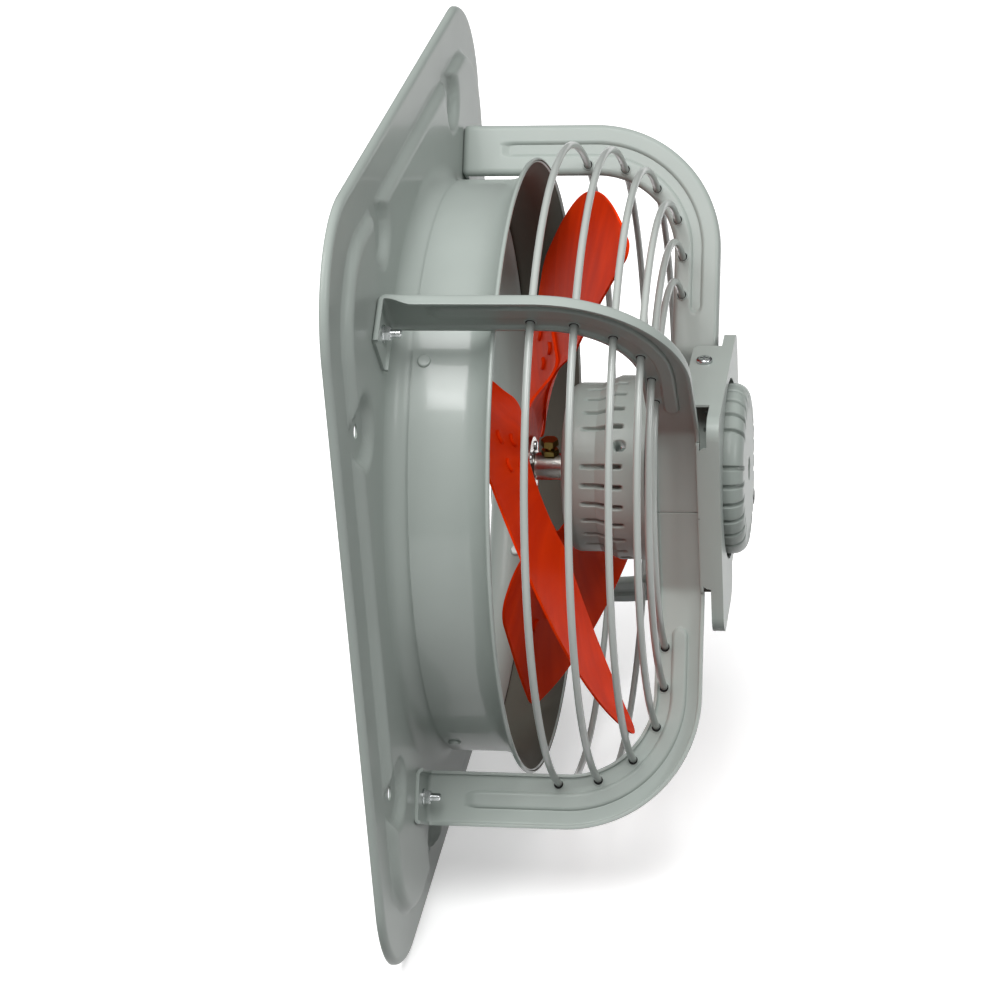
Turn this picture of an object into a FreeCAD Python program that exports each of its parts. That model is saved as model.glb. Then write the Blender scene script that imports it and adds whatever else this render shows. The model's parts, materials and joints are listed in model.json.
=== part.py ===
import FreeCAD, Part
import math
import os

os.makedirs("parts", exist_ok=True)
V = FreeCAD.Vector
O = V(0, 0, 0)
AXIS = V(1, 0, 0)

# Frame, in mm: X runs along the fan axis from the wall to the motor, Z is up,
# Y runs to the far side. X = 0 is the wall, the fan axis is Y = Z = 0.

# wall plate
PLATE_SIDE = 500.0
PLATE_CORNER_R = 72.0
SHEET = 1.2
LIP_DEPTH = 5.0
LIP_ROLL_R = 3.6
FIELD_MARGIN = 27.0
FIELD_RISE = 6.0
FIELD_CORNER_R = 58.0
FIELD_EDGE_R = 2.6
HOLE_EDGE = 43.0
HOLE_SPREAD = 240.0
HOLE_R = 4.2
SCALLOP_R = 17.0

# duct
DUCT_R = 182.4
COLLAR_FIT = 0.05
COVE_R = 12.0
COLLAR_LENGTH = 15.0
DUCT_STEP = 1.0
DUCT_LENGTH = 48.4
FLARE_LENGTH = 16.4
FLARE_RISE = 12.4
RIM_BEAD_R = 1.5
DUCT_RIVETS = 4
DUCT_RIVET_R = 2.4

# arms: the web of an arm is a flat sheet, seen from the motor it leans WEB_ANGLE off the vertical
# and misses the fan axis by WEB_OFFSET
WEB_T = 2.0
WEB_ANGLE = math.radians(34.5)
WEB_OFFSET = 20.85
ARM_GAP = 3.2
WEB_WIDTH = 32.4
RUN_WIDTH = 28.0
ARM_REAR = 183.5
BEND_R = 84.0
INNER_BEND_R = 54.0
FLANGE_W = 6.4
TAB_GAP = 2.8
TAB_SEAM = 0.2
FOOT_L = 31.0
FOOT_CORNER_R = 7.0
BEAD_W = 10.0
BEAD_H = 1.5
BEAD_WALL = 1.4
BEAD_FROM = 26.0
BEAD_END = 110.0

# foot fixings
BOLT_R = 2.5
BOLT_FIT = 0.1
BOLT_OUT = 16.0
NUT_AF = 8.0
NUT_H = 4.2
WASHER_R = 5.2
WASHER_T = 1.0
STUD_END = 6.0
FOOT_HEAD_R = 5.5
FOOT_HEAD_H = 2.4

# guard hoops, at equal steps along the inner edge of the arms
WIRE_R = 2.25
WIRE_FIT = 0.05
HOOPS = 6
HOOP_FIRST = 95.9
HOOP_PITCH = 25.3
HOOP_INSET = 4.75

# motor saddle
PAN_T = 1.5
PAN_STEP = 10.7
PAN_GAP = 4.5
PAN_DEPTH = 13.0
PAN_SIDE_L = 97.0
PAN_LEAF_L = 92.0
PAN_LEAF_W = 25.5
PAN_CORNER_R = 5.0
PAN_BEND_R = 12.0
PAN_RIM = 7.5
EAR_L = 68.0
EAR_DROP = 19.0
EAR_R = 15.0
PAN_HOLE_GAP = 3.4
SCREW_Y = 20.0
SCREW_BACK = 16.5
SCREW_R = 2.5
SCREW_HEAD_R = 5.2
SCREW_HEAD_H = 3.0

# motor
MOTOR_LENGTH = 114.4
MOTOR_OUT = 11.9
MOTOR_R = 59.0
MOTOR_WALL = 2.0
SHIELD_CORNER_R = 8.0
SHOULDER_R = 54.2
SHOULDER_L = 22.0
SKIRT_L = 54.0
REAR_SKIRT_L = 42.0
CORE_FIT = 0.05
CORE_LAP = 8.0
CORE_REAR_LAP = 10.6
CORE_BORE_R = 30.4
WINDING_L = 11.0
WINDING_GAP = 6.5
WINDING_WALL_GAP = 3.0
AIR_GAP = 0.4
SLOTS = 28
BOLTS = 4
SLOT_W = 3.2
SLOT_FROM = 19.0
SLOT_TO = 44.0
SLOT_REAR_TO = 8.5
SLOT_CUT = 2.0
SLOT_FLOOR = 2.2
POCKET_FROM = 26.0
POCKET_W = 12.5
POCKET_IN = 5.5
POCKET_TALL = 16.0
LUG_R = 5.0
LUG_L = 4.0
REAR_LUG_L = 7.0
THROUGH_R = 2.0
THROUGH_IN = 4.6
THROUGH_AF = 7.0
THROUGH_HEAD = 3.2
SHAFT_R = 6.0
RUN_FIT = 0.03
BEARING_R = 14.0
BEARING_W = 8.0

# rotor
HUB_GAP = 3.0
HUB_LENGTH = 24.0
HUB_R = 9.0
HUB_FLANGE_R = 19.0
HUB_FLANGE_T = 3.0
SET_BOLT_R = 3.0
SET_BOLT_AT = 14.0
SET_STEM = 15.0
SET_AF = 10.0
SET_HEAD = 4.2
LOCK_H = 3.2
BLADES = 3
BLADE_FIRST = math.radians(60.0)
TIP_GAP = 6.4
# outline of a blade seen along the axis: angles at the tip, then (across, along) shares of the tip radius
TIP_LEAD = math.radians(-2.5)
TIP_TRAIL = math.radians(77.0)
LEAD_KNEE = (-0.284, 0.466)
LEAD_ROOT = (-0.216, 0.262)
TRAIL_ROOT = (0.125, 0.325)
TRAIL_MID = (0.636, 0.236)
KNEE_R = 34.0
LEAD_TIP_R = 12.0
TRAIL_TIP_R = 8.0
ROOT_CORNER_R = 8.0
BLADE_T = 1.5
JOINT_GAP = 0.25
SPIDER_T = 2.0
SPIDER_R = 38.0
SPIDER_ARM_HALF_W = 16.0
SPIDER_ARM_END = 124.0
DISH = 24.0
DISH_FROM = 36.0
DISH_TO = 76.0
PITCH = 0.354
PITCH_ZERO = math.radians(35.1)
CAMBER = 0.00018
RAKE = 11.0
RIVET_R = 2.4
RIVET_HEAD_R = 4.4
RIVET_HEAD_H = 1.7
RIVET_NEAR = 88.0
RIVET_FAR = 112.0
RIVET_SIDE = 8.5
RIVET_SEAT = 0.22

# cable gland
GLAND_IN_Y = 15.5
GLAND_IN_Z = 17.0
GLAND_R = 6.5
GLAND_L = 10.0
GLAND_BORE_R = 3.6

# derived positions
BOLT_EVERY = SLOTS // BOLTS
HALF = PLATE_SIDE / 2
BEYOND = PLATE_SIDE
BAND_TOP = LIP_DEPTH
FIELD_TOP = BAND_TOP + FIELD_RISE
HOLE_ROW = HALF - HOLE_EDGE
COLLAR_R = DUCT_R - COLLAR_FIT
DUCT_BACK = FIELD_TOP + COVE_R + DUCT_STEP
RIM_X = DUCT_BACK + DUCT_LENGTH
RIM_R = DUCT_R + SHEET + FLARE_RISE
TIP_R = DUCT_R - TIP_GAP
WEB_INNER = RIM_R + ARM_GAP
WEB_OUTER = WEB_INNER + WEB_WIDTH
RUN_X = ARM_REAR - RUN_WIDTH
FOOT_TOP = FIELD_TOP + WEB_T
TAB_Y = MOTOR_R + TAB_GAP + WEB_T / 2
PAN_BACK = ARM_REAR + PAN_DEPTH
PAN_Y = TAB_Y + PAN_STEP
PAN_Z = MOTOR_R + PAN_GAP + PAN_T
GLAND_Y = PAN_Y - GLAND_IN_Y
GLAND_Z = GLAND_IN_Z - PAN_Z
MOTOR_REAR = PAN_BACK + MOTOR_OUT
MOTOR_FRONT = MOTOR_REAR - MOTOR_LENGTH
CORE_R = MOTOR_R - MOTOR_WALL
CORE_FRONT = MOTOR_FRONT + SKIRT_L - CORE_LAP
CORE_REAR = MOTOR_REAR - REAR_SKIRT_L + CORE_REAR_LAP
THROUGH_AT = CORE_R - THROUGH_IN
# a winding clears the through bolts and the wall under the grooves
WINDING_R = min(THROUGH_AT - WINDING_GAP, SHOULDER_R - SLOT_CUT - SLOT_FLOOR - WINDING_WALL_GAP)
HUB_BACK = MOTOR_FRONT - HUB_GAP - HUB_LENGTH
SPIDER_FACE = HUB_BACK


def solid(points):
    """Closed face from a list of points, ready to extrude or revolve."""
    return Part.Face(Part.makePolygon(points + [points[0]]))


def turned(profile):
    """Revolve a profile given as (distance along the axis, radius) about the fan axis."""
    face = solid([V(x, 0, r) for x, r in profile])
    return face.revolve(O, AXIS, 360)


def rod(x0, x1, r, y=0.0, z=0.0):
    """Cylinder along the fan axis direction."""
    return Part.makeCylinder(r, x1 - x0, V(x0, y, z), AXIS)


def ring(x0, x1, r_out, r_in):
    return rod(x0, x1, r_out).cut(rod(x0 - 1, x1 + 1, r_in))


def rounded_slab(half_y, half_z, corner, x0, x1):
    """Rectangular slab with rounded corners, square to the fan axis."""
    box = Part.makeBox(x1 - x0, 2 * half_y, 2 * half_z, V(x0, -half_y, -half_z))
    along = [e for e in box.Edges if abs(e.tangentAt(e.FirstParameter).x) > 0.99]
    return box.makeFillet(corner, along)


def front_edges(shape, x):
    """Edges lying in the plane at distance x from the wall."""
    return [e for e in shape.Edges if all(abs(v.X - x) < 1e-4 for v in e.Vertexes)]


def hexagon(af, height, base, direction):
    """Hexagonal prism on a base point along a direction."""
    radius = af / math.sqrt(3)
    wire = Part.makePolygon([V(radius * math.cos(a), radius * math.sin(a), 0)
                             for a in [math.pi / 3 * i for i in range(7)]])
    prism = Part.Face(wire).extrude(V(0, 0, height))
    top = Part.makeCone(radius + 0.6 * height, radius - 0.4, height + 0.6 * height, V(0, 0, -0.6 * height))
    prism = prism.common(top)
    prism.Placement = FreeCAD.Placement(base, FreeCAD.Rotation(V(0, 0, 1), direction))
    return prism


def save(name, shape):
    shape.exportStep("parts/" + name + ".step")


def mirrored(shape, flip_y, flip_z):
    if flip_y:
        shape = shape.mirror(O, V(0, 1, 0))
    if flip_z:
        shape = shape.mirror(O, V(0, 0, 1))
    return shape


def mount_holes():
    """Centres of the eight mounting holes, two along each side."""
    half = HOLE_SPREAD / 2
    row = [(s * HOLE_ROW, t * half) for s in (-1, 1) for t in (-1, 1)]
    return row + [(z, y) for y, z in row]


def web_point(s):
    """Point of the near top web at distance s along it."""
    base_y = WEB_OFFSET * math.cos(WEB_ANGLE)
    base_z = -WEB_OFFSET * math.sin(WEB_ANGLE)
    return V(0, -(base_y + s * math.sin(WEB_ANGLE)), base_z + s * math.cos(WEB_ANGLE))


WEB_U = V(0, -math.sin(WEB_ANGLE), math.cos(WEB_ANGLE))
WEB_N = AXIS.cross(WEB_U)
FOLD_S = (TAB_Y - WEB_OFFSET * math.cos(WEB_ANGLE)) / math.sin(WEB_ANGLE)
FOOT_MID = WEB_INNER + WEB_WIDTH / 2
FOOT_BOLT = web_point(FOOT_MID) + WEB_N * BOLT_OUT


def hoop_places():
    """Distance from the wall and radius of each hoop."""
    turn = INNER_BEND_R + HOOP_INSET
    turn_x = RUN_X - INNER_BEND_R
    turn_s = WEB_INNER - INNER_BEND_R
    places = []
    for i in range(HOOPS):
        run = HOOP_FIRST + i * HOOP_PITCH - turn_x
        bend = min(max(run / turn, 0.0), math.pi / 2)
        x = turn_x + min(run, 0.0) + turn * math.sin(bend)
        s = turn_s + turn * math.cos(bend) - max(run - turn * math.pi / 2, 0.0)
        places.append((x, math.hypot(s, WEB_OFFSET)))
    return places


def field(inset):
    """Raised field of the plate with a bite round each mounting hole, shrunk by inset."""
    half = HALF - FIELD_MARGIN - inset
    slab = rounded_slab(half, half, FIELD_CORNER_R - inset, 0, FIELD_TOP - inset)
    bites = [rod(-1, FIELD_TOP + 1, SCALLOP_R + inset, y, z) for y, z in mount_holes()]
    slab = slab.cut(bites[0].multiFuse(bites[1:]))
    return slab.makeFillet(FIELD_EDGE_R, front_edges(slab, FIELD_TOP - inset))


def make_wall_plate():
    outer = rounded_slab(HALF, HALF, PLATE_CORNER_R, 0, BAND_TOP)
    outer = outer.makeFillet(LIP_ROLL_R, front_edges(outer, BAND_TOP))
    inner = rounded_slab(HALF - SHEET, HALF - SHEET, PLATE_CORNER_R - SHEET, -1, BAND_TOP - SHEET)
    inner = inner.makeFillet(LIP_ROLL_R - SHEET, front_edges(inner, BAND_TOP - SHEET))
    plate = outer.fuse(field(0.0)).cut(inner.fuse(field(SHEET)))
    plate = plate.cut(rod(-1, FIELD_TOP + 1, COLLAR_R + COVE_R))
    centre = (FIELD_TOP + COVE_R, COLLAR_R + COVE_R)
    s = math.sqrt(0.5)
    end = centre[0] + COLLAR_LENGTH

    def at(x, r):
        return V(x, 0, r)
    edges = [
        Part.Arc(at(FIELD_TOP, centre[1]), at(centre[0] - s * COVE_R, centre[1] - s * COVE_R),
                 at(centre[0], COLLAR_R)).toShape(),
        Part.makeLine(at(centre[0], COLLAR_R), at(end, COLLAR_R)),
        Part.makeLine(at(end, COLLAR_R), at(end, COLLAR_R - SHEET)),
        Part.makeLine(at(end, COLLAR_R - SHEET), at(centre[0], COLLAR_R - SHEET)),
        Part.Arc(at(centre[0], COLLAR_R - SHEET),
                 at(centre[0] - s * (COVE_R + SHEET), centre[1] - s * (COVE_R + SHEET)),
                 at(FIELD_TOP - SHEET, centre[1])).toShape(),
        Part.makeLine(at(FIELD_TOP - SHEET, centre[1]), at(FIELD_TOP, centre[1])),
    ]
    cove = Part.Face(Part.Wire(edges)).revolve(O, AXIS, 360)
    plate = plate.fuse(cove)
    holes = [rod(-1, BAND_TOP + 1, HOLE_R, y, z) for y, z in mount_holes()]
    for flip_y in (False, True):
        for flip_z in (False, True):
            hole = rod(0, FIELD_TOP + 1, BOLT_R + BOLT_FIT, FOOT_BOLT.y, FOOT_BOLT.z)
            holes.append(mirrored(hole, flip_y, flip_z))
    for i in range(DUCT_RIVETS):
        holes.append(duct_rivet_hole(i))
    return plate.cut(holes[0].multiFuse(holes[1:])).removeSplitter()


def duct_rivet_dir(i):
    angle = 2 * math.pi * (i + 0.5) / DUCT_RIVETS
    return V(0, math.sin(angle), math.cos(angle))


def duct_rivet_x():
    return DUCT_BACK + 0.5 * (COLLAR_LENGTH - DUCT_STEP)


def duct_rivet_hole(i):
    start = duct_rivet_dir(i) * (DUCT_R - 10) + AXIS * duct_rivet_x()
    return Part.makeCylinder(DUCT_RIVET_R, 20, start, duct_rivet_dir(i))


def make_duct_ring():
    flare_x = RIM_X - FLARE_LENGTH
    outer = DUCT_R + SHEET
    big = (FLARE_LENGTH ** 2 + FLARE_RISE ** 2) / (2 * FLARE_RISE)
    centre_r = outer + big
    sweep = math.asin(FLARE_LENGTH / big)

    def on(radius, share):
        return V(flare_x + radius * math.sin(sweep * share), 0, centre_r - radius * math.cos(sweep * share))
    thick = big + SHEET
    edges = [
        Part.makeLine(V(DUCT_BACK, 0, DUCT_R), V(DUCT_BACK, 0, outer)),
        Part.makeLine(V(DUCT_BACK, 0, outer), V(flare_x, 0, outer)),
        Part.Arc(on(big, 0), on(big, 0.5), on(big, 1)).toShape(),
        Part.makeLine(on(big, 1), on(thick, 1)),
        Part.Arc(on(thick, 1), on(thick, 0.5), on(thick, 0)).toShape(),
        Part.makeLine(V(flare_x, 0, DUCT_R), V(DUCT_BACK, 0, DUCT_R)),
    ]
    ring_shape = Part.Face(Part.Wire(edges)).revolve(O, AXIS, 360)
    rim = on(big + SHEET / 2, 1)
    bead = Part.makeTorus(rim.z, RIM_BEAD_R, V(rim.x, 0, 0), AXIS)
    ring_shape = ring_shape.fuse(bead)
    holes = [duct_rivet_hole(i) for i in range(DUCT_RIVETS)]
    return ring_shape.cut(holes[0].multiFuse(holes[1:]))


def make_duct_rivets():
    rivets = []
    for i in range(DUCT_RIVETS):
        out = duct_rivet_dir(i)
        foot = AXIS * duct_rivet_x()
        shank = Part.makeCylinder(DUCT_RIVET_R - 0.03, 2 * SHEET + COLLAR_FIT + 1.4,
                                  foot + out * (COLLAR_R - SHEET - 0.7), out)
        heads = []
        for base, way in ((DUCT_R + SHEET + 0.1, 1), (COLLAR_R - SHEET - 0.1, -1)):
            cap = Part.makeCylinder(4.0, 1.5, foot + out * base, out * way)
            heads.append(cap.makeFillet(1.2, [cap.Edges[0]]))
        rivets.append(shank.multiFuse(heads))
    return Part.makeCompound(rivets)


def arm_outline(inset_outer, inner):
    """Outer edge of an arm in its own plane: along the wall side, round the bend and down to the fold."""
    bend_x = ARM_REAR - BEND_R
    bend_s = WEB_OUTER - BEND_R
    r = BEND_R - inset_outer
    c = math.sqrt(0.5)
    edge = [
        Part.makeLine(V(FIELD_TOP, WEB_OUTER - inset_outer, 0), V(bend_x, WEB_OUTER - inset_outer, 0)),
        Part.Arc(V(bend_x, bend_s + r, 0), V(bend_x + c * r, bend_s + c * r, 0),
                 V(bend_x + r, bend_s, 0)).toShape(),
        Part.makeLine(V(ARM_REAR - inset_outer, bend_s, 0), V(ARM_REAR - inset_outer, FOLD_S, 0)),
    ]
    if not inner:
        return edge
    turn_x = RUN_X - INNER_BEND_R
    turn_s = WEB_INNER - INNER_BEND_R
    return edge + [
        Part.makeLine(V(ARM_REAR, FOLD_S, 0), V(RUN_X, FOLD_S, 0)),
        Part.makeLine(V(RUN_X, FOLD_S, 0), V(RUN_X, turn_s, 0)),
        Part.Arc(V(RUN_X, turn_s, 0), V(turn_x + c * INNER_BEND_R, turn_s + c * INNER_BEND_R, 0),
                 V(turn_x, WEB_INNER, 0)).toShape(),
        Part.makeLine(V(turn_x, WEB_INNER, 0), V(FIELD_TOP, WEB_INNER, 0)),
        Part.makeLine(V(FIELD_TOP, WEB_INNER, 0), V(FIELD_TOP, WEB_OUTER, 0)),
    ]


def bead_face(width):
    """Stadium that follows the middle of an arm from the foot to the fold."""
    mid_s = FOOT_MID
    mid_x = ARM_REAR - RUN_WIDTH / 2
    turn = 0.5 * (BEND_R + INNER_BEND_R)
    c = math.sqrt(0.5)
    path = Part.Wire([
        Part.makeLine(V(FOOT_TOP + BEAD_FROM, mid_s, 0), V(mid_x - turn, mid_s, 0)),
        Part.Arc(V(mid_x - turn, mid_s, 0), V(mid_x - turn + c * turn, mid_s - turn + c * turn, 0),
                 V(mid_x, mid_s - turn, 0)).toShape(),
        Part.makeLine(V(mid_x, mid_s - turn, 0), V(mid_x, BEAD_END, 0)),
    ])
    return Part.Face(path.makeOffset2D(width / 2, 0, False, False, False))


def make_arm():
    """Near top arm, drawn flat (X, distance along the web, side) and then stood in its place."""
    low = -WEB_T / 2
    web = Part.Face(Part.Wire(arm_outline(0.0, True))).extrude(V(0, 0, WEB_T))
    outer = arm_outline(0.0, False)
    inner = arm_outline(WEB_T, False)
    cap_foot = Part.makeLine(V(FIELD_TOP, WEB_OUTER, 0), V(FIELD_TOP, WEB_OUTER - WEB_T, 0))
    cap_fold = Part.makeLine(V(ARM_REAR, FOLD_S, 0), V(ARM_REAR - WEB_T, FOLD_S, 0))
    strip = Part.Wire(Part.__sortEdges__(outer + inner + [cap_foot, cap_fold]))
    flange = Part.Face(strip).extrude(V(0, 0, FLANGE_W + WEB_T / 2))
    ridge = bead_face(BEAD_W).extrude(V(0, 0, WEB_T + BEAD_H))
    top = [e for e in ridge.Edges if all(abs(v.Z - WEB_T - BEAD_H) < 1e-4 for v in e.Vertexes)]
    ridge = ridge.makeFillet(0.9 * BEAD_H, top)
    groove = bead_face(BEAD_W - 2 * BEAD_WALL).extrude(V(0, 0, WEB_T + BEAD_H - BEAD_WALL))
    foot = Part.makeBox(WEB_T, WEB_WIDTH, FOOT_L + WEB_T / 2, V(FIELD_TOP, WEB_INNER, 0))
    ends = [e for e in foot.Edges if abs(e.tangentAt(e.FirstParameter).x) > 0.99
            and e.Vertexes[0].Z > FOOT_L / 2 and e.Vertexes[0].Y < FOOT_MID]
    foot = foot.makeFillet(FOOT_CORNER_R, ends)
    cheek = Part.makeBox(FLANGE_W, WEB_T, FOOT_L + WEB_T / 2, V(FIELD_TOP, WEB_OUTER - WEB_T, 0))
    cheek_end = [e for e in cheek.Edges if abs(e.tangentAt(e.FirstParameter).y) > 0.99
                 and e.Vertexes[0].Z > FOOT_L / 2 and e.Vertexes[0].X > FOOT_TOP]
    cheek = cheek.makeFillet(0.8 * FLANGE_W, cheek_end)
    arm = web.multiFuse([flange, ridge, foot, cheek]).cut(groove)
    bolt = Part.makeCylinder(BOLT_R + BOLT_FIT, 20, V(FIELD_TOP - 5, FOOT_MID, BOLT_OUT + WEB_T / 2), AXIS)
    arm = arm.cut(bolt).removeSplitter()
    # stand the flat drawing on the web plane
    matrix = FreeCAD.Matrix(1, 0, 0, 0, 0, WEB_U.y, WEB_N.y, 0, 0, WEB_U.z, WEB_N.z, 0, 0, 0, 0, 1)
    base = web_point(0) + WEB_N * low
    arm.Placement = FreeCAD.Placement(matrix)
    arm.translate(base)
    # end folded flat beside the motor, with its own rear flange
    fold = web_point(FOLD_S)
    half = WEB_T / 2
    tab = Part.makeBox(RUN_WIDTH, WEB_T, fold.z - TAB_SEAM / 2, V(RUN_X, -TAB_Y - half, TAB_SEAM / 2))
    knuckle = Part.makeCylinder(half, RUN_WIDTH, V(RUN_X, fold.y, fold.z), AXIS)
    lip = Part.makeBox(WEB_T, PAN_Y - TAB_Y + half, fold.z - TAB_SEAM / 2,
                       V(ARM_REAR - WEB_T, -PAN_Y, TAB_SEAM / 2))
    arm = arm.multiFuse([tab, knuckle, lip])
    cuts = []
    for x, radius in hoop_places():
        s = math.sqrt(radius ** 2 - WEB_OFFSET ** 2)
        at = web_point(s) + AXIS * x
        way = V(0, -at.z, at.y)
        way.normalize()
        cuts.append(Part.makeCylinder(WIRE_R + WIRE_FIT, 16, at - way * 8, way))
    return arm.cut(cuts[0].multiFuse(cuts[1:])).removeSplitter()


def make_foot_fixings():
    y, z = FOOT_BOLT.y, FOOT_BOLT.z
    under = FIELD_TOP - SHEET
    nut_at = FOOT_TOP + WASHER_T
    head = rod(under - FOOT_HEAD_H, under, FOOT_HEAD_R, y, z)
    head = head.makeFillet(1.2, front_edges(head, under - FOOT_HEAD_H))
    bolt = head.fuse(rod(under, nut_at + NUT_H + STUD_END, BOLT_R, y, z))
    tip = front_edges(bolt, nut_at + NUT_H + STUD_END)
    bolt = bolt.makeChamfer(0.6, tip)
    nut = hexagon(NUT_AF, NUT_H, V(nut_at, y, z), AXIS).cut(rod(0, nut_at + 20, BOLT_R, y, z))
    washer = rod(FOOT_TOP, nut_at, WASHER_R, y, z).cut(rod(0, nut_at + 20, BOLT_R + BOLT_FIT, y, z))
    for name, shape in (("foot_bolts", bolt), ("foot_nuts", nut), ("foot_washers", washer)):
        four = [mirrored(shape, a, b) for a in (False, True) for b in (False, True)]
        save(name, Part.makeCompound(four))


def pan_tray(inset, x0, x1):
    """Outside of the tray with its hanging ear, shrunk by inset."""
    tray = rounded_slab(PAN_Y - inset, PAN_Z - inset, PAN_BEND_R - inset, x0, x1)
    low = PAN_Z + EAR_DROP - inset
    ear = Part.makeBox(x1 - x0, EAR_L - 2 * inset, low, V(x0, inset - PAN_Y, -low))
    corners = [e for e in ear.Edges if abs(e.tangentAt(e.FirstParameter).x) > 0.99
               and e.Vertexes[0].Z < -PAN_Z]
    return tray.fuse(ear.makeFillet(EAR_R - inset, corners))


def make_pan():
    """Folded tray: rim at the back all round, deeper side walls and leaves for the arms and the motor."""
    rim_x = PAN_BACK - PAN_RIM
    pan = pan_tray(0.0, rim_x, PAN_BACK).cut(pan_tray(PAN_T, rim_x - 1, PAN_BACK - PAN_T))
    walls = []
    for side in (-1, 1):
        wall = Part.makeBox(PAN_DEPTH, PAN_T, PAN_SIDE_L, V(ARM_REAR, -PAN_T / 2, -PAN_SIDE_L / 2))
        ends = [e for e in wall.Edges if abs(e.tangentAt(e.FirstParameter).y) > 0.99
                and e.Vertexes[0].X < ARM_REAR + 1]
        wall = wall.makeFillet(PAN_CORNER_R, ends)
        wall.translate(V(0, side * (PAN_Y - PAN_T / 2), 0))
        leaf = Part.makeBox(PAN_LEAF_W, PAN_LEAF_L, PAN_T,
                            V(PAN_BACK - PAN_LEAF_W, -PAN_LEAF_L / 2, -PAN_T / 2))
        ends = [e for e in leaf.Edges if abs(e.tangentAt(e.FirstParameter).z) > 0.99
                and e.Vertexes[0].X < PAN_BACK - 1]
        leaf = leaf.makeFillet(PAN_CORNER_R, ends)
        leaf.translate(V(0, 0, side * (PAN_Z - PAN_T / 2)))
        walls += [wall, leaf]
    pan = pan.multiFuse(walls)
    floor = PAN_BACK - PAN_T - 1
    top = PAN_BACK + 1
    cuts = [rod(floor, top, SHOULDER_R + PAN_HOLE_GAP), rod(floor, top, GLAND_R - 1.5, GLAND_Y, GLAND_Z)]
    for way in (1, -1):
        seat = V(PAN_BACK - SCREW_BACK, way * SCREW_Y, way * (PAN_Z - 5))
        cuts.append(Part.makeCylinder(SCREW_R + BOLT_FIT, 10, seat, V(0, 0, way)))
    for cut in cuts:
        pan = pan.cut(cut)
    return pan.removeSplitter()


def make_pan_screws():
    screws = []
    for way in (1, -1):
        up = V(0, 0, way)
        seat = V(PAN_BACK - SCREW_BACK, way * SCREW_Y, way * PAN_Z)
        head = Part.makeCylinder(SCREW_HEAD_R, SCREW_HEAD_H, seat, up)
        rim = [e for e in head.Edges if abs(abs(e.BoundBox.Center.z) - PAN_Z - SCREW_HEAD_H) < 1e-3
               and e.BoundBox.XLength > SCREW_HEAD_R]
        head = head.makeFillet(0.6 * SCREW_HEAD_H, rim)
        shank = Part.makeCylinder(SCREW_R, 10 + PAN_T, seat - up * (10 + PAN_T), up)
        screw = head.fuse(shank)
        for turn in (0, 90):
            slot = Part.makeBox(5.2, 1.2, 1.6, V(-2.6, -0.6, -1.4))
            slot.rotate(O, V(0, 0, 1), turn)
            slot.rotate(O, AXIS, 0 if way > 0 else 180)
            slot.translate(seat + up * SCREW_HEAD_H)
            screw = screw.cut(slot)
        screws.append(screw)
    return Part.makeCompound(screws)


def spoke_angle(i):
    """Angle of slot i about the axis, from straight up towards the near side."""
    return 2 * math.pi * i / SLOTS + math.pi / 2


def turn_about_axis(shape, angle):
    """Turn a shape from straight up towards the near side."""
    shape.rotate(O, AXIS, math.degrees(angle))
    return shape


def slot_cutters(x0, x1, low, high):
    """Round ended grooves all round the motor, leaving out the ones that carry a through bolt."""
    cutters = []
    for i in range(SLOTS):
        if i % BOLT_EVERY == BOLT_EVERY - 3:
            continue
        body = Part.makeBox(x1 - x0 - SLOT_W, SLOT_W, high - low, V(x0 + SLOT_W / 2, -SLOT_W / 2, low))
        mids = (x0 + SLOT_W / 2, x1 - SLOT_W / 2)
        ends = [Part.makeCylinder(SLOT_W / 2, high - low, V(x, 0, low)) for x in mids]
        cutters.append(turn_about_axis(body.multiFuse(ends), spoke_angle(i)))
    return cutters


def bolt_angles():
    return [spoke_angle(BOLT_EVERY * (i + 1) - 3) for i in range(BOLTS)]


def around(angle, radius):
    return V(0, -radius * math.sin(angle), radius * math.cos(angle))


def shield_profile(face_x, way, skirt_end, core_face):
    """Cup of a motor shield: flat face, round corner, step, thick grooved wall, skirt and bearing seat."""
    def at(back, r):
        return V(face_x + way * back, 0, r)
    wall = MOTOR_WALL + 3.0
    pocket = BEARING_W + 2.0
    skirt = abs(skirt_end - face_x)
    seat = abs(core_face - face_x) - 1.0
    step = SHOULDER_L + MOTOR_R - SHOULDER_R
    rib = SHOULDER_R - SLOT_CUT - SLOT_FLOOR
    cup = SHOULDER_R - wall
    round_r = SHIELD_CORNER_R
    bow = round_r * (1 - math.sqrt(0.5))
    corners = [at(round_r, SHOULDER_R), at(SHOULDER_L, SHOULDER_R), at(step, MOTOR_R), at(skirt, MOTOR_R),
               at(skirt, CORE_R), at(seat, CORE_R), at(seat, rib), at(step, rib), at(SHOULDER_L, cup),
               at(wall + 0.5 * round_r, cup), at(wall, cup - 0.5 * round_r), at(wall, BEARING_R + 6),
               at(4 + pocket, BEARING_R + 3.5), at(4 + pocket, BEARING_R), at(4, BEARING_R),
               at(4, SHAFT_R + 1.5), at(0, SHAFT_R + 1.5), at(0, SHOULDER_R - round_r)]
    edges = [Part.makeLine(a, b) for a, b in zip(corners, corners[1:])]
    edges.append(Part.Arc(corners[-1], at(bow, SHOULDER_R - bow), corners[0]).toShape())
    return edges


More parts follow.
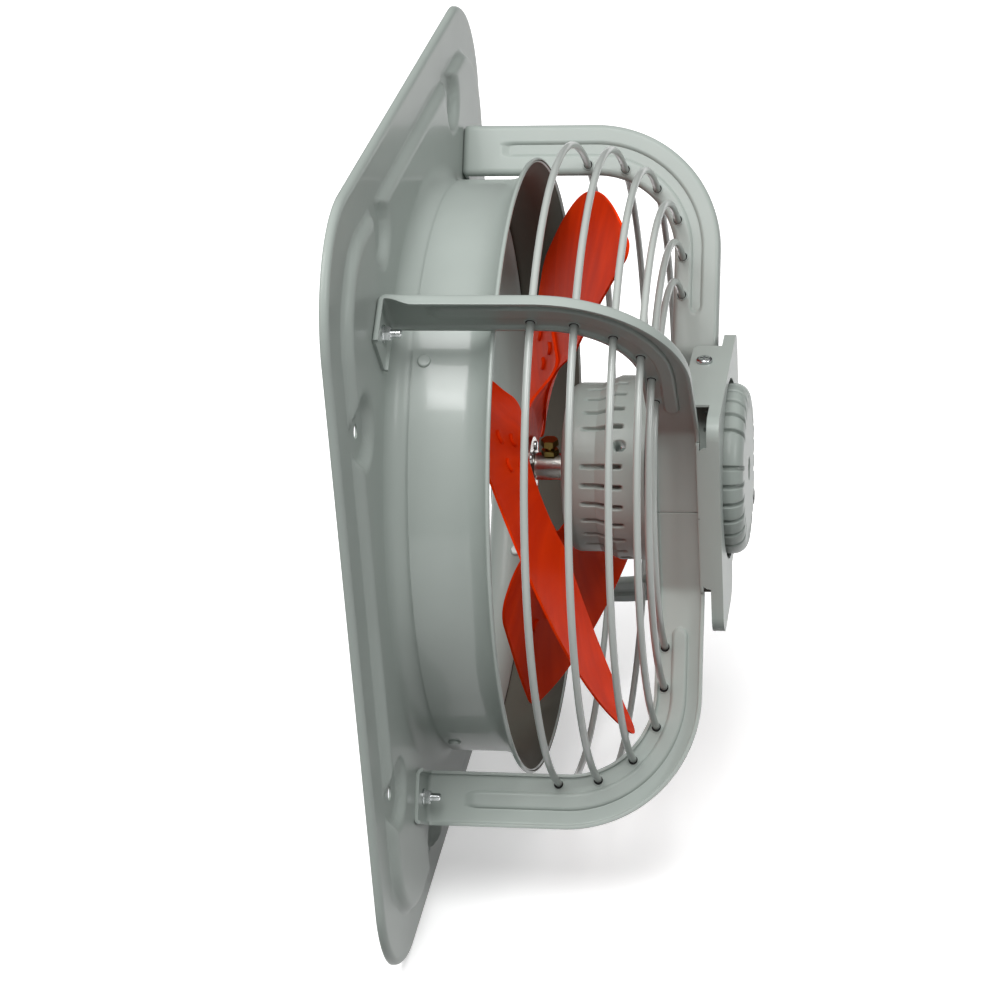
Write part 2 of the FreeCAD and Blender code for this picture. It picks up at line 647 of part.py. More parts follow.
def make_shields():
    skirt_end = MOTOR_FRONT + SKIRT_L
    front = Part.Face(Part.Wire(shield_profile(MOTOR_FRONT, 1, skirt_end, CORE_FRONT))).revolve(O, AXIS, 360)
    rear_start = MOTOR_REAR - REAR_SKIRT_L
    rear = Part.Face(Part.Wire(shield_profile(MOTOR_REAR, -1, rear_start, CORE_REAR))).revolve(O, AXIS, 360)
    rear = rear.fuse(rod(MOTOR_REAR - 4.0, MOTOR_REAR, SHAFT_R + 2.5))
    pads = []
    screw_holes = []
    for way in (1, -1):
        pad = Part.makeBox(16, 18, PAN_Z - PAN_T - 46, V(PAN_BACK - SCREW_BACK - 8, -9, 46))
        tops = [e for e in pad.Edges if abs(e.tangentAt(e.FirstParameter).z) > 0.99]
        pad = pad.makeFillet(3.0, tops)
        pad.translate(V(0, SCREW_Y, 0))
        pad.rotate(O, AXIS, 0 if way > 0 else 180)
        pads.append(pad)
        seat = V(PAN_BACK - SCREW_BACK, way * SCREW_Y, way * (PAN_Z - PAN_T))
        screw_holes.append(Part.makeCylinder(SCREW_R, 16, seat, V(0, 0, -way)))
    inside = rod(rear_start, MOTOR_REAR - SHOULDER_L, CORE_R)
    rear = rear.fuse(pads[0].fuse(pads[1]).cut(inside)).cut(screw_holes[0].fuse(screw_holes[1]))
    low = SHOULDER_R - SLOT_CUT
    cut_f = slot_cutters(MOTOR_FRONT + SLOT_FROM, MOTOR_FRONT + SLOT_TO, low, MOTOR_R + 3)
    cut_r = slot_cutters(MOTOR_REAR - SLOT_FROM, MOTOR_REAR - SLOT_REAR_TO, low, MOTOR_R + 3)
    front = front.cut(cut_f[0].multiFuse(cut_f[1:]))
    rear = rear.cut(cut_r[0].multiFuse(cut_r[1:]))
    lugs_front = []
    lugs_rear = []
    pockets = []
    drills = []
    for angle in bolt_angles():
        c = around(angle, THROUGH_AT)
        lugs_front.append(rod(CORE_FRONT - LUG_L, CORE_FRONT, LUG_R, c.y, c.z))
        lugs_rear.append(rod(CORE_REAR, CORE_REAR + REAR_LUG_L, LUG_R, c.y, c.z))
        drills.append(rod(CORE_FRONT - LUG_L - 1, CORE_REAR + REAR_LUG_L - 0.5, THROUGH_R + 0.05, c.y, c.z))
        pocket = Part.makeBox(CORE_FRONT - LUG_L - MOTOR_FRONT - POCKET_FROM, POCKET_W, POCKET_TALL,
                              V(MOTOR_FRONT + POCKET_FROM, -POCKET_W / 2, THROUGH_AT - POCKET_IN))
        pockets.append(turn_about_axis(pocket, angle))
    drill = drills[0].multiFuse(drills[1:])
    core_space = rod(CORE_FRONT, CORE_REAR, CORE_R + CORE_FIT)
    front = front.cut(pockets[0].multiFuse(pockets[1:])).multiFuse(lugs_front).cut(drill).cut(core_space)
    rear = rear.multiFuse(lugs_rear).cut(drill).cut(core_space)
    return front.removeSplitter(), rear.removeSplitter()


def make_through_bolts():
    bolts = []
    start = CORE_FRONT - LUG_L
    for angle in bolt_angles():
        c = around(angle, THROUGH_AT)
        head = hexagon(THROUGH_AF, THROUGH_HEAD, V(start, c.y, c.z), V(-1, 0, 0))
        bolts.append(head.fuse(rod(start - 1, CORE_REAR + REAR_LUG_L - 1.0, THROUGH_R, c.y, c.z)))
    return Part.makeCompound(bolts)


def make_stator():
    core = ring(CORE_FRONT, CORE_REAR, CORE_R, CORE_BORE_R)
    grooves = []
    for angle in bolt_angles():
        c = around(angle, THROUGH_AT)
        grooves.append(rod(CORE_FRONT - 1, CORE_REAR + 1, THROUGH_R + 0.3, c.y, c.z))
    core = core.cut(grooves[0].multiFuse(grooves[1:]))
    wind = []
    for face, far in ((CORE_FRONT, CORE_FRONT - WINDING_L), (CORE_REAR, CORE_REAR + WINDING_L)):
        coil = ring(min(face, far), max(face, far), WINDING_R, CORE_BORE_R + 4.0)
        wind.append(coil.makeFillet(4.0, front_edges(coil, far)))
    return core, wind[0], wind[1]


def make_shaft_parts():
    shaft_start = HUB_BACK - SPIDER_T - 1.5
    front_seat = MOTOR_FRONT + 4.0
    rear_seat = MOTOR_REAR - 4.0
    shaft = rod(shaft_start, rear_seat - 1.2, SHAFT_R)
    shaft = shaft.makeChamfer(0.8, front_edges(shaft, shaft_start))
    rotor_r = CORE_BORE_R - AIR_GAP
    rotor = ring(CORE_FRONT, CORE_REAR, rotor_r, SHAFT_R)
    ends = [ring(CORE_FRONT - 6.0, CORE_FRONT, rotor_r - 2, 18.0),
            ring(CORE_REAR, CORE_REAR + 6.0, rotor_r - 2, 18.0)]
    rotor = rotor.multiFuse(ends)
    bearings = []
    for x0 in (front_seat + 1.0, rear_seat - 1.5 - BEARING_W):
        race = ring(x0, x0 + BEARING_W, BEARING_R, SHAFT_R + RUN_FIT)
        for face in (x0, x0 + BEARING_W):
            dish = ring(face - 0.5, face + 0.5, BEARING_R - 2.2, SHAFT_R + 2.2)
            race = race.cut(dish)
        bearings.append(race)
    washer = ring(rear_seat - 1.5, rear_seat, BEARING_R - 0.2, BEARING_R - 3.0)
    return shaft, rotor, bearings[0], bearings[1], washer


def blade_rise(r, a):
    """Distance of the carrier's face from the hub plane at radius r, turned a from the arm of the carrier."""
    u = min(1.0, max(0.0, (r - DISH_FROM) / (DISH_TO - DISH_FROM)))
    grow = u * u * (3 - 2 * u)
    turn = r * (a - PITCH_ZERO)
    out = max(0.0, (r - DISH_TO) / (TIP_R - DISH_TO))
    return grow * (DISH + PITCH * turn - CAMBER * turn * turn) + RAKE * out * out


def blade_surface(t0, t1, r0, r1, nt, nr):
    """Smooth surface X = hub plane + rise over a rectangle across and along a blade."""
    rows = []
    for i in range(nt):
        row = []
        for j in range(nr):
            t = t0 + (t1 - t0) * i / (nt - 1)
            r = r0 + (r1 - r0) * j / (nr - 1)
            row.append(V(SPIDER_FACE + blade_rise(math.hypot(t, r), math.atan2(t, r)), -t, r))
        rows.append(row)
    surface = Part.BSplineSurface()
    surface.interpolate(rows)
    return surface.toShape()


def blade_prism():
    """Outline of a blade seen along the axis: swept leading side with a knee, long trailing side."""
    def part_way(share):
        return V(0, -share[0] * TIP_R, share[1] * TIP_R)

    def tip(angle):
        return V(0, -TIP_R * math.sin(angle), TIP_R * math.cos(angle))
    lead, trail = tip(TIP_LEAD), tip(TIP_TRAIL)
    knee, root_l, root_t = part_way(LEAD_KNEE), part_way(LEAD_ROOT), part_way(TRAIL_ROOT)
    wire = Part.Wire([
        Part.Arc(lead, tip(0.5 * (TIP_LEAD + TIP_TRAIL)), trail).toShape(),
        Part.Arc(trail, part_way(TRAIL_MID), root_t).toShape(),
        Part.makeLine(root_t, root_l),
        Part.makeLine(root_l, knee),
        Part.makeLine(knee, lead),
    ])
    prism = Part.Face(wire).extrude(V(BEYOND, 0, 0))
    for point, radius in ((lead, LEAD_TIP_R), (trail, TRAIL_TIP_R), (knee, KNEE_R),
                          (root_l, ROOT_CORNER_R), (root_t, ROOT_CORNER_R)):
        edges = [e for e in prism.Edges if e.BoundBox.XLength > BEYOND / 2
                 and math.hypot(e.Vertexes[0].Y - point.y, e.Vertexes[0].Z - point.z) < 0.1]
        prism = prism.makeFillet(radius, edges)
    return prism


def rivet_spots():
    return [(t, r) for r in (RIVET_NEAR, RIVET_FAR) for t in (-RIVET_SIDE, RIVET_SIDE)]


def rivet_frame(t, r):
    """Point on the joint between carrier and blade, and the outward direction there."""
    d = 0.01

    def x(tt, rr):
        return blade_rise(math.hypot(tt, rr), math.atan2(tt, rr))
    slope_t = (x(t + d, r) - x(t - d, r)) / (2 * d)
    slope_r = (x(t, r + d) - x(t, r - d)) / (2 * d)
    out = V(1, slope_t, -slope_r)
    out.normalize()
    return V(SPIDER_FACE + x(t, r), -t, r), out


def make_blade_pieces():
    """One blade, one arm of the carrier and the four rivets that join them, all pointing straight up."""
    holes = []
    rivets = []
    for t, r in rivet_spots():
        at, out = rivet_frame(t, r)
        holes.append(Part.makeCylinder(RIVET_R + 0.1, 16, at - out * 8, out))
        above = (BLADE_T + JOINT_GAP) * out.x + RIVET_SEAT
        below = SPIDER_T * out.x + RIVET_SEAT
        shank = Part.makeCylinder(RIVET_R, above + below + 1.0, at - out * (below + 0.5), out)
        caps = []
        for start, way in ((above, 1), (below, -1)):
            cap = Part.makeCylinder(RIVET_HEAD_R, RIVET_HEAD_H, O, V(0, 0, 1))
            crown = [e for e in cap.Edges if e.BoundBox.ZMin > RIVET_HEAD_H - 0.01]
            cap = cap.makeFillet(0.8 * RIVET_HEAD_H, crown)
            turn = FreeCAD.Rotation(V(0, 0, 1), out * way)
            cap.Placement = FreeCAD.Placement(at + out * (way * start), turn)
            caps.append(cap)
        rivets.append(shank.multiFuse(caps))
    drill = holes[0].multiFuse(holes[1:])
    face = blade_surface(LEAD_KNEE[0] * TIP_R - 12, TIP_R + 6, SPIDER_R - 20, TIP_R + 6, 41, 33)
    lifted = face.translated(V(JOINT_GAP, 0, 0))
    blade = lifted.extrude(V(BLADE_T, 0, 0)).common(blade_prism()).cut(drill)
    w = SPIDER_ARM_HALF_W
    arm = face.extrude(V(-SPIDER_T, 0, 0))
    plan = solid([V(0, w + 6, SPIDER_R - 14), V(0, w, SPIDER_ARM_END), V(0, -w, SPIDER_ARM_END),
                  V(0, -w - 6, SPIDER_R - 14)]).extrude(V(200, 0, 0))
    corners = [e for e in plan.Edges if e.BoundBox.XLength > 150 and e.Vertexes[0].Z > SPIDER_R]
    plan = plan.makeFillet(10.0, corners)
    arm = arm.common(plan).cut(drill)
    return blade, arm, rivets


def hub_rivet_spots():
    r = 0.5 * (HUB_R + HUB_FLANGE_R)
    turns = [math.pi / 4 + math.pi / 2 * i for i in range(4)]
    return [(r * math.cos(a), r * math.sin(a)) for a in turns]


def make_rotor_pieces():
    blade, arm, rivets = make_blade_pieces()
    blades = []
    arms = []
    all_rivets = []
    for i in range(BLADES):
        angle = BLADE_FIRST + 2 * math.pi * i / BLADES
        blades.append(turn_about_axis(blade.copy(), angle))
        arms.append(turn_about_axis(arm.copy(), angle))
        all_rivets += [turn_about_axis(x.copy(), angle) for x in rivets]
    disc = rod(SPIDER_FACE - SPIDER_T - 0.4, SPIDER_FACE + 0.4, SPIDER_R)
    disc = disc.cut(rod(SPIDER_FACE, SPIDER_FACE + 1, HUB_FLANGE_R + 1.0))
    spider = disc.multiFuse(arms).cut(rod(0, 200, SHAFT_R + 0.05))
    hub = turned([(HUB_BACK, SHAFT_R), (HUB_BACK, HUB_FLANGE_R), (HUB_BACK + HUB_FLANGE_T, HUB_FLANGE_R),
                  (HUB_BACK + HUB_FLANGE_T, HUB_R + 1.5), (HUB_BACK + HUB_FLANGE_T + 1.5, HUB_R),
                  (HUB_BACK + HUB_LENGTH - 0.8, HUB_R), (HUB_BACK + HUB_LENGTH, HUB_R - 0.8),
                  (HUB_BACK + HUB_LENGTH, SHAFT_R)])
    bolt_x = HUB_BACK + SET_BOLT_AT
    hub = hub.cut(Part.makeCylinder(SET_BOLT_R, 20, V(bolt_x, 0, 0)))
    hub_rivets = []
    for y, z in hub_rivet_spots():
        hole = rod(0, 200, 2.1, y, z)
        spider = spider.cut(hole)
        hub = hub.cut(hole)
        front = HUB_BACK + HUB_FLANGE_T
        back = SPIDER_FACE - SPIDER_T - 0.4
        shank = rod(back - 1, front + 1, 2.05, y, z)
        cap_f = rod(front, front + 1.4, 3.2, y, z)
        cap_b = rod(back - 1.4, back, 3.2, y, z)
        cap_f = cap_f.makeFillet(1.1, front_edges(cap_f, front + 1.4))
        cap_b = cap_b.makeFillet(1.1, front_edges(cap_b, back - 1.4))
        hub_rivets.append(shank.multiFuse([cap_f, cap_b]))
    lock = hexagon(SET_AF, LOCK_H, V(bolt_x, 0, HUB_R + 0.1), V(0, 0, 1))
    lock = lock.cut(Part.makeCylinder(SET_BOLT_R, 30, V(bolt_x, 0, 0)))
    stem = Part.makeCylinder(SET_BOLT_R, SET_STEM - SHAFT_R, V(bolt_x, 0, SHAFT_R))
    lower = [e for e in stem.Edges if e.BoundBox.ZMax < SHAFT_R + 0.01]
    stem = stem.makeChamfer(0.8, lower)
    head = hexagon(SET_AF, SET_HEAD, V(bolt_x, 0, SET_STEM), V(0, 0, 1))
    shaft_room = rod(0, 200, SHAFT_R)
    set_bolt = stem.fuse(head).cut(shaft_room)
    return blades, spider, Part.makeCompound(all_rivets), hub, Part.makeCompound(hub_rivets), lock, set_bolt


def make_gland():
    y, z = GLAND_Y, GLAND_Z
    body = rod(PAN_BACK, PAN_BACK + GLAND_L, GLAND_R, y, z)
    body = body.makeFillet(2.4, front_edges(body, PAN_BACK + GLAND_L))
    neck = rod(PAN_BACK - PAN_T - 0.5, PAN_BACK + 1, GLAND_R - 1.5, y, z)
    inner = rod(PAN_BACK - PAN_T - 3.0, PAN_BACK - PAN_T, GLAND_R - 0.2, y, z)
    return body.multiFuse([neck, inner]).cut(rod(0, BEYOND, GLAND_BORE_R, y, z))


save("wall_plate", make_wall_plate())
save("duct_ring", make_duct_ring())
save("duct_rivets", make_duct_rivets())
near_top = make_arm()
save("arm_top_near", near_top)
save("arm_top_far", mirrored(near_top, True, False))
save("arm_bottom_near", mirrored(near_top, False, True))
save("arm_bottom_far", mirrored(near_top, True, True))
make_foot_fixings()
for number, (hoop_x, hoop_r) in enumerate(hoop_places(), 1):
    save("guard_ring_%d" % number, Part.makeTorus(hoop_r, WIRE_R, V(hoop_x, 0, 0), AXIS))
save("motor_pan", make_pan())
save("pan_screws", make_pan_screws())
shield_front, shield_rear = make_shields()
save("motor_front_shield", shield_front)
save("motor_rear_shield", shield_rear)
save("motor_through_bolts", make_through_bolts())
core, coil_front, coil_rear = make_stator()
save("stator_core", core)
save("winding_front", coil_front)
save("winding_rear", coil_rear)
shaft, rotor, race_front, race_rear, washer = make_shaft_parts()
save("motor_shaft", shaft)
save("rotor_core", rotor)
save("bearing_front", race_front)
save("bearing_rear", race_rear)
save("preload_washer", washer)
blade_list, spider, rivets, hub, hub_rivets, lock_nut, set_bolt = make_rotor_pieces()
for number, blade in enumerate(blade_list, 1):
    save("blade_%d" % number, blade)
save("blade_spider", spider)
save("blade_rivets", rivets)
save("fan_hub", hub)
save("hub_rivets", hub_rivets)
save("hub_lock_nut", lock_nut)
save("hub_set_bolt", set_bolt)
save("cable_gland", make_gland())
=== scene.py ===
"""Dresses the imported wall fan: enamelled sheet, wire guard, cast motor and red blades."""
import json
import math

import bpy
import numpy as np
from mathutils import Matrix, Vector


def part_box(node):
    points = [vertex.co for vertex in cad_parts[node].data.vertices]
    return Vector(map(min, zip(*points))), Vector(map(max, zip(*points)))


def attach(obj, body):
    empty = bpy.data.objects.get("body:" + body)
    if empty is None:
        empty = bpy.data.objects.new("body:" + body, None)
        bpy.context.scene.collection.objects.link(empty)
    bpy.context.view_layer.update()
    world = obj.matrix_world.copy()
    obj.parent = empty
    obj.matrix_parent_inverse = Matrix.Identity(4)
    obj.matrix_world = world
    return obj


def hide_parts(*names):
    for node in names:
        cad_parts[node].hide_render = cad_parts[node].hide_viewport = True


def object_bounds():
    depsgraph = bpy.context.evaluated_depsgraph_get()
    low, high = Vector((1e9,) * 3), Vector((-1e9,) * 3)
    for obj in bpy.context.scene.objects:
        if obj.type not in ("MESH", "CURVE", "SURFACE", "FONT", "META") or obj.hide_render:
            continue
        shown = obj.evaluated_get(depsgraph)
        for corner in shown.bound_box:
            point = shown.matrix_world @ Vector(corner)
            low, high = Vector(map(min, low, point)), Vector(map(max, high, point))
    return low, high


bl_info = {
    "name": "Wall Fan Dressing",
    "version": (1, 0, 0),
    "blender": (4, 5, 0),
    "location": "View3D > Sidebar > Wall Fan",
    "description": "Builds the visible surfaces, finishes and stage of a wall exhaust fan",
    "category": "Add Mesh",
}

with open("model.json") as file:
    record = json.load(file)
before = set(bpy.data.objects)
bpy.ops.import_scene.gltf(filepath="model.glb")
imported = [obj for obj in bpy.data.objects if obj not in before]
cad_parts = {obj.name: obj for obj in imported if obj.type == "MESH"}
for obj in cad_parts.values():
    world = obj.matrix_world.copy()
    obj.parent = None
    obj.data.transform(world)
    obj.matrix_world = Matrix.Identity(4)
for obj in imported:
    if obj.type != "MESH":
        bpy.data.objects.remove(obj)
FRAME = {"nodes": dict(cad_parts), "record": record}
CAD_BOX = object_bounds()
MM = 0.001
# name, place, width and height, power: a soft ceiling light, a fill from the motor's side,
# and a tube with a thin edge beside it, whose lines show on the duct
LAMPS = (
    ("key", (-0.4, -3.1, 6.0), (4.0, 4.0), 370.0),
    ("side", (2.6, -1.2, 1.8), (0.9, 0.9), 24.0),
    ("tube", (-0.57, -1.85, 2.5), (0.07, 1.2), 2.6),
    ("tube_edge", (-0.67, -1.85, 2.5), (0.02, 1.2), 0.6),
)
# the near top arm is worked out, and these are its mirror images in Y and Z
ARMS = (
    ("arm_top_near", 1, 1),
    ("arm_top_far", -1, 1),
    ("arm_bottom_near", 1, -1),
    ("arm_bottom_far", -1, -1),
)


def length(name, text, mm):
    """One length property, written in mm and kept in metres."""
    return bpy.props.FloatProperty(
        name=name, description=text, default=mm * MM, unit="LENGTH", precision=5)


def tone(name, text, hex_code):
    """One colour property, an sRGB hex code."""
    return bpy.props.StringProperty(name=name, description=text, default=hex_code)


class FanPlate(bpy.types.PropertyGroup):
    """Sizes of the pressed wall plate."""
    half: length("Half side", "Half of the square plate", 250.0)
    corner: length("Corner", "Corner radius of the plate", 72.0)
    sheet: length("Sheet", "Thickness of the sheet", 1.2)
    lip: length("Lip", "Depth of the turned edge", 5.0)
    roll: length("Roll", "Radius of the turned edge", 4.2)
    margin: length("Margin", "Edge of the plate to the raised field", 27.0)
    field_corner: length("Field corner", "Corner radius of the raised field", 58.0)
    rise: length("Rise", "Height of the raised field", 6.0)
    slope: length("Slope", "Width of the slope round the field", 7.0)
    crown: bpy.props.FloatProperty(
        name="Crown", description="How steep the slope starts before it levels out", default=2.2)
    hole_row: length("Hole row", "Centre line to a row of holes", 207.0)
    hole_step: length("Hole step", "Half of the distance between the holes of a row", 120.0)
    hole: length("Hole", "Radius of a mounting hole", 4.2)
    bite: length("Bite", "Radius of the bite round a hole", 17.0)
    collar: length("Collar", "Outer radius of the collar", 182.35)
    cove: length("Cove", "Radius of the turn from plate to collar", 12.0)
    collar_end: length("Collar end", "Distance of the collar's end from the wall", 38.0)


class FanDuct(bpy.types.PropertyGroup):
    """Sizes of the duct ring."""
    radius: length("Radius", "Inner radius of the duct", 182.4)
    sheet: length("Sheet", "Thickness of the sheet", 1.2)
    back: length("Back", "Wall to the start of the duct", 24.0)
    flare_from: length("Flare from", "Wall to the start of the flare", 56.0)
    flare: length("Flare", "Outer radius of the flare's bend", 17.05)
    rim: length("Rim", "Wall to the rim", 72.4)
    bead: length("Bead", "Radius of the bead on the rim", 1.5)


class FanArm(bpy.types.PropertyGroup):
    """Sizes of the pressed arms."""
    sheet: length("Sheet", "Thickness of an arm", 2.0)
    edge: length("Edge", "Width of the broken edges", 0.5)
    angle: bpy.props.FloatProperty(
        name="Lean", description="Lean of an arm off the vertical", default=math.radians(34.5),
        subtype="ANGLE")
    offset: length("Offset", "Distance by which the web misses the axis", 20.85)
    inner: length("Inner edge", "Inner edge of the straight part, along the web", 199.2)
    outer: length("Outer edge", "Outer edge of the straight part, along the web", 231.6)
    run: length("Run", "Wall to the near edge of the cross run", 155.5)
    rear: length("Rear", "Wall to the far edge of the cross run", 183.5)
    inner_bend: length("Inner bend", "Radius of the inner edge in the bend", 54.0)
    outer_bend: length("Outer bend", "Radius of the outer edge in the bend", 84.0)
    flange: length("Flange", "Height of the turned outer edge", 7.0)
    edge_bend: length("Edge bend", "Radius of the bend under the turned outer edge", 2.8)
    hem: length("Hem", "Radius of the turned inner edge", 3.0)
    tab: length("Tab", "Axis to the end folded beside the motor", 62.8)
    tab_flange: length("Tab flange", "Height of the turned edge on the folded end", 10.7)
    tab_lead: length("Tab lead", "Start of the higher turned edge, ahead of the fold", 12.0)
    tab_grow: length("Tab growth", "Length over which the turned edge grows higher", 18.0)
    fold_soft: length("Fold", "Half of the length over which the end is folded", 4.0)
    seam: length("Seam", "Half of the gap between the ends of two arms", 0.4)
    seat: length("Seat", "Wall to the underside of the foot", 11.0)
    foot: length("Foot", "Length of the foot", 31.0)
    foot_bend: length("Foot bend", "Radius of the bend between foot and web", 4.0)
    cheek: bpy.props.FloatProperty(
        name="Cheek", description="Height of the turned edge on the foot, share of the whole",
        default=0.4)
    cheek_run: length("Cheek run", "Length over which the turned edge rises from the foot", 16.0)
    bead: length("Bead", "Width of the rolled bead", 10.8)
    bead_side: length("Bead side", "Width of the slope on each side of the bead", 1.7)
    bead_rise: length("Bead rise", "Height of the rolled bead", 1.7)
    bead_from: length("Bead from", "Wall to the start of the bead", 44.0)
    bead_end: length("Bead end", "End of the bead, along the web", 110.0)


class FanHole(bpy.types.PropertyGroup):
    """Sizes of the raised rims, and of the black rings of painted shade that stand for the holes the
    guard hoops pass through.
    """
    gap: length("Gap", "Clearance round a hoop", 0.6)
    shift: length("Shift", "Distance of a hole's centre from its hoop, along the web", 0.6)
    rim: length("Rim", "Half of the width of the raised rim", 0.5)
    rise: length("Rise", "Height of the raised rim", 0.4)
    under: length("Under", "Depth of the dark gap's inner edge inside the wire", 0.9)
    lift: length("Lift", "Height of the gap's outer edge off the web", 0.08)
    dip: length("Dip", "Height of the gap's inner edge off the web", 0.05)


class FanMotor(bpy.types.PropertyGroup):
    """Sizes of the cast motor shields; along a groove, distances run from the rounded corner."""
    front: length("Front", "Wall to the front face", 94.0)
    rear: length("Rear", "Wall to the rear face", 208.4)
    radius: length("Radius", "Radius of the skirts", 59.0)
    shoulder: length("Shoulder", "Radius of the shoulders", 54.2)
    shoulder_long: length("Shoulder length", "Face to the step behind the shoulder", 22.0)
    step: length("Step", "Length of the slope from shoulder to skirt", 11.52)
    corner: length("Corner", "Radius between face and shoulder", 9.0)
    skirt: length("Skirt", "Length of the front shield", 54.0)
    rear_skirt: length("Rear skirt", "Length of the rear shield", 42.0)
    core: length("Core", "Radius of the stator that the skirts sit on", 57.05)
    bore: length("Bore", "Radius of the shaft's way out", 7.5)
    bore_deep: length("Bore depth", "Depth of the shaft's way out", 12.0)
    groove: length("Groove", "Width of a groove", 3.4)
    groove_side: length("Groove side", "Width of the slope on each side of a groove", 1.02)
    depth: length("Depth", "Depth of a groove", 3.0)
    groove_from: length("Groove from", "Start of the front shield's grooves", 18.0)
    groove_to: length("Groove to", "End of the front shield's grooves", 46.0)
    rear_from: length("Rear groove from", "Start of the rear shield's grooves, on the face", -6.0)
    rear_to: length("Rear groove to", "End of the rear shield's grooves", 30.0)
    start_fade: length("Start fade", "Length over which a groove starts", 3.0)
    end_fade: length("End fade", "Length over which a groove ends", 2.0)
    grooves: bpy.props.IntProperty(name="Grooves", description="Grooves round a shield", default=28)
    bolts: bpy.props.IntProperty(
        name="Bolts", description="Grooves left out for through bolts", default=4)
    first_bolt: bpy.props.IntProperty(
        name="First bolt", description="First groove left out, counted from the top", default=4)
    pocket: length("Pocket", "Width of a bolt pocket", 7.6)
    pocket_at: length("Pocket at", "Front face to the middle of a bolt pocket", 38.0)
    pocket_floor: length("Pocket floor", "Radius of the floor of a pocket", 46.9)
    pad: length("Pad", "Height of the screw pads over the axis", 63.5)
    pad_at: length("Pad at", "Offset of the screw pads", 20.0)
    pad_wide: length("Pad width", "Width of a screw pad", 18.0)
    pad_from: length("Pad from", "Wall to the start of the screw pads", 172.0)
    pad_long: length("Pad length", "Length of a screw pad", 16.0)


class FanCamera(bpy.types.PropertyGroup):
    """Where the picture is taken from."""
    place: bpy.props.FloatVectorProperty(
        name="Place", description="Position of the camera", default=(0.3402, -1.5719, 0.7582), size=3,
        subtype="TRANSLATION", unit="LENGTH")
    azimuth: bpy.props.FloatProperty(
        name="Azimuth", description="Turn of the view about the vertical, degrees", default=10.62)
    elevation: bpy.props.FloatProperty(
        name="Elevation", description="Height of the view above the horizon, degrees", default=26.39)
    roll: bpy.props.FloatProperty(
        name="Roll", description="Turn of the frame about the line of sight, degrees", default=-3.947)
    lens: bpy.props.FloatProperty(
        name="Lens", description="Focal length on a 36 mm sensor", default=98.6, unit="CAMERA")
    shift: bpy.props.FloatProperty(
        name="Shift", description="Upward shift of the frame, share of its side", default=0.0145)


class FanColours(bpy.types.PropertyGroup):
    """Finishes that a user would change."""
    enamel: tone("Enamel", "Grey green of the sheet metal, sRGB hex", "9ea6a1")
    # held a little darker than the enamel: partly painted shade, for the front shield that lies in
    # shade
    casting: tone("Casting", "Grey green of the motor shields, sRGB hex", "939b96")
    wire: tone("Wire", "Grey of the guard wires, sRGB hex", "abb0ac")
    blade: tone("Blade", "Red of the blades, sRGB hex", "ef3403")
    # painted shade: the duct's inside takes this dark colour in place of the shade that falls in it
    inside: tone("Duct inside", "Primer inside the duct, sRGB hex", "5c5a52")
    floor: tone("Floor", "Pale floor, sRGB hex", "f6f6f6")


def linear(hex_code):
    """sRGB hex to linear RGBA: the standard curve, channel by channel."""
    parts = [int(hex_code[i:i + 2], 16) / 255.0 for i in (0, 2, 4)]
    return [c / 12.92 if c <= 0.04045 else ((c + 0.055) / 1.055) ** 2.4 for c in parts] + [1.0]


def shade(colour, share):
    """A linear colour made lighter or darker by a share."""
    return [min(1.0, c * share) for c in colour[:3]] + [1.0]


def add(tree, kind, settings=None, **inputs):
    """Adds one node: settings are its properties, inputs are values or output sockets to link."""
    node = tree.nodes.new(kind)
    for key, value in (settings or {}).items():
        setattr(node, key, value)
    for key, value in inputs.items():
        numbered = key[0] == "i" and key[1:].isdigit()
        socket = node.inputs[int(key[1:]) if numbered else key.replace("_", " ")]
        if isinstance(value, bpy.types.NodeSocket):
            tree.links.new(value, socket)
        else:
            socket.default_value = value
    return node


def new_material(name):
    """Empty node material with its output, ready for a shader."""
    material = bpy.data.materials.new(name)
    material.use_nodes = True
    tree = material.node_tree
    tree.nodes.clear()
    return material, tree, tree.nodes.new("ShaderNodeOutputMaterial")


def object_place(tree):
    """Socket of the place on the piece, in metres."""
    return add(tree, "ShaderNodeTexCoord").outputs["Object"]


def noise(tree, where, mm, detail):
    """Socket of a noise with one cell per mm of surface."""
    node = add(tree, "ShaderNodeTexNoise", Vector=where, Scale=1000.0 / mm, Detail=detail)
    return node.outputs["Fac"]


def blend(tree, share, first, second):
    """Socket of a colour that goes from first to second with share."""
    node = add(tree, "ShaderNodeMix", {"data_type": "RGBA"}, i0=share, i6=first, i7=second)
    return node.outputs[2]


def dress(tree, out, **inputs):
    """Links a principled shader with these inputs to the material's output."""
    shader = add(tree, "ShaderNodeBsdfPrincipled", **inputs)
    tree.links.new(shader.outputs["BSDF"], out.inputs["Surface"])


def cloudy(tree, where, base):
    """An even coat whose colour drifts by 7 percent in clouds 45 mm wide."""
    clouds = noise(tree, where, mm=45.0, detail=3.0)
    return blend(tree, clouds, shade(base, 0.93), shade(base, 1.07))


def painted_streaks(tree, where, base):
    """Painted highlight and shade: dark and pale streaks that run out from the axis, in place of the
    light on the blades' raised streaks.

    The streaks are a noise over the angle round the axis, one cell per 16 mm of arc at 120 mm from it.
    """
    place = add(tree, "ShaderNodeSeparateXYZ", Vector=where).outputs
    turn = add(tree, "ShaderNodeMath", {"operation": "ARCTAN2"}, i0=place["Z"], i1=place["Y"])
    arc = add(tree, "ShaderNodeMath", {"operation": "MULTIPLY"}, i0=turn.outputs[0], i1=120.0 * MM)
    spread = add(tree, "ShaderNodeCombineXYZ", X=place["X"], Y=arc.outputs[0])
    streak = noise(tree, spread.outputs[0], mm=16.0, detail=3.0)
    share = add(tree, "ShaderNodeMapRange", Value=streak, From_Min=0.35, From_Max=0.68)
    # the pale streaks are painted highlights, and they lean to orange
    pale = [min(1.0, base[0] * 1.06), base[1] * 1.35, base[2] * 2.0, 1.0]
    return blend(tree, share.outputs["Result"], shade(base, 0.9), pale)


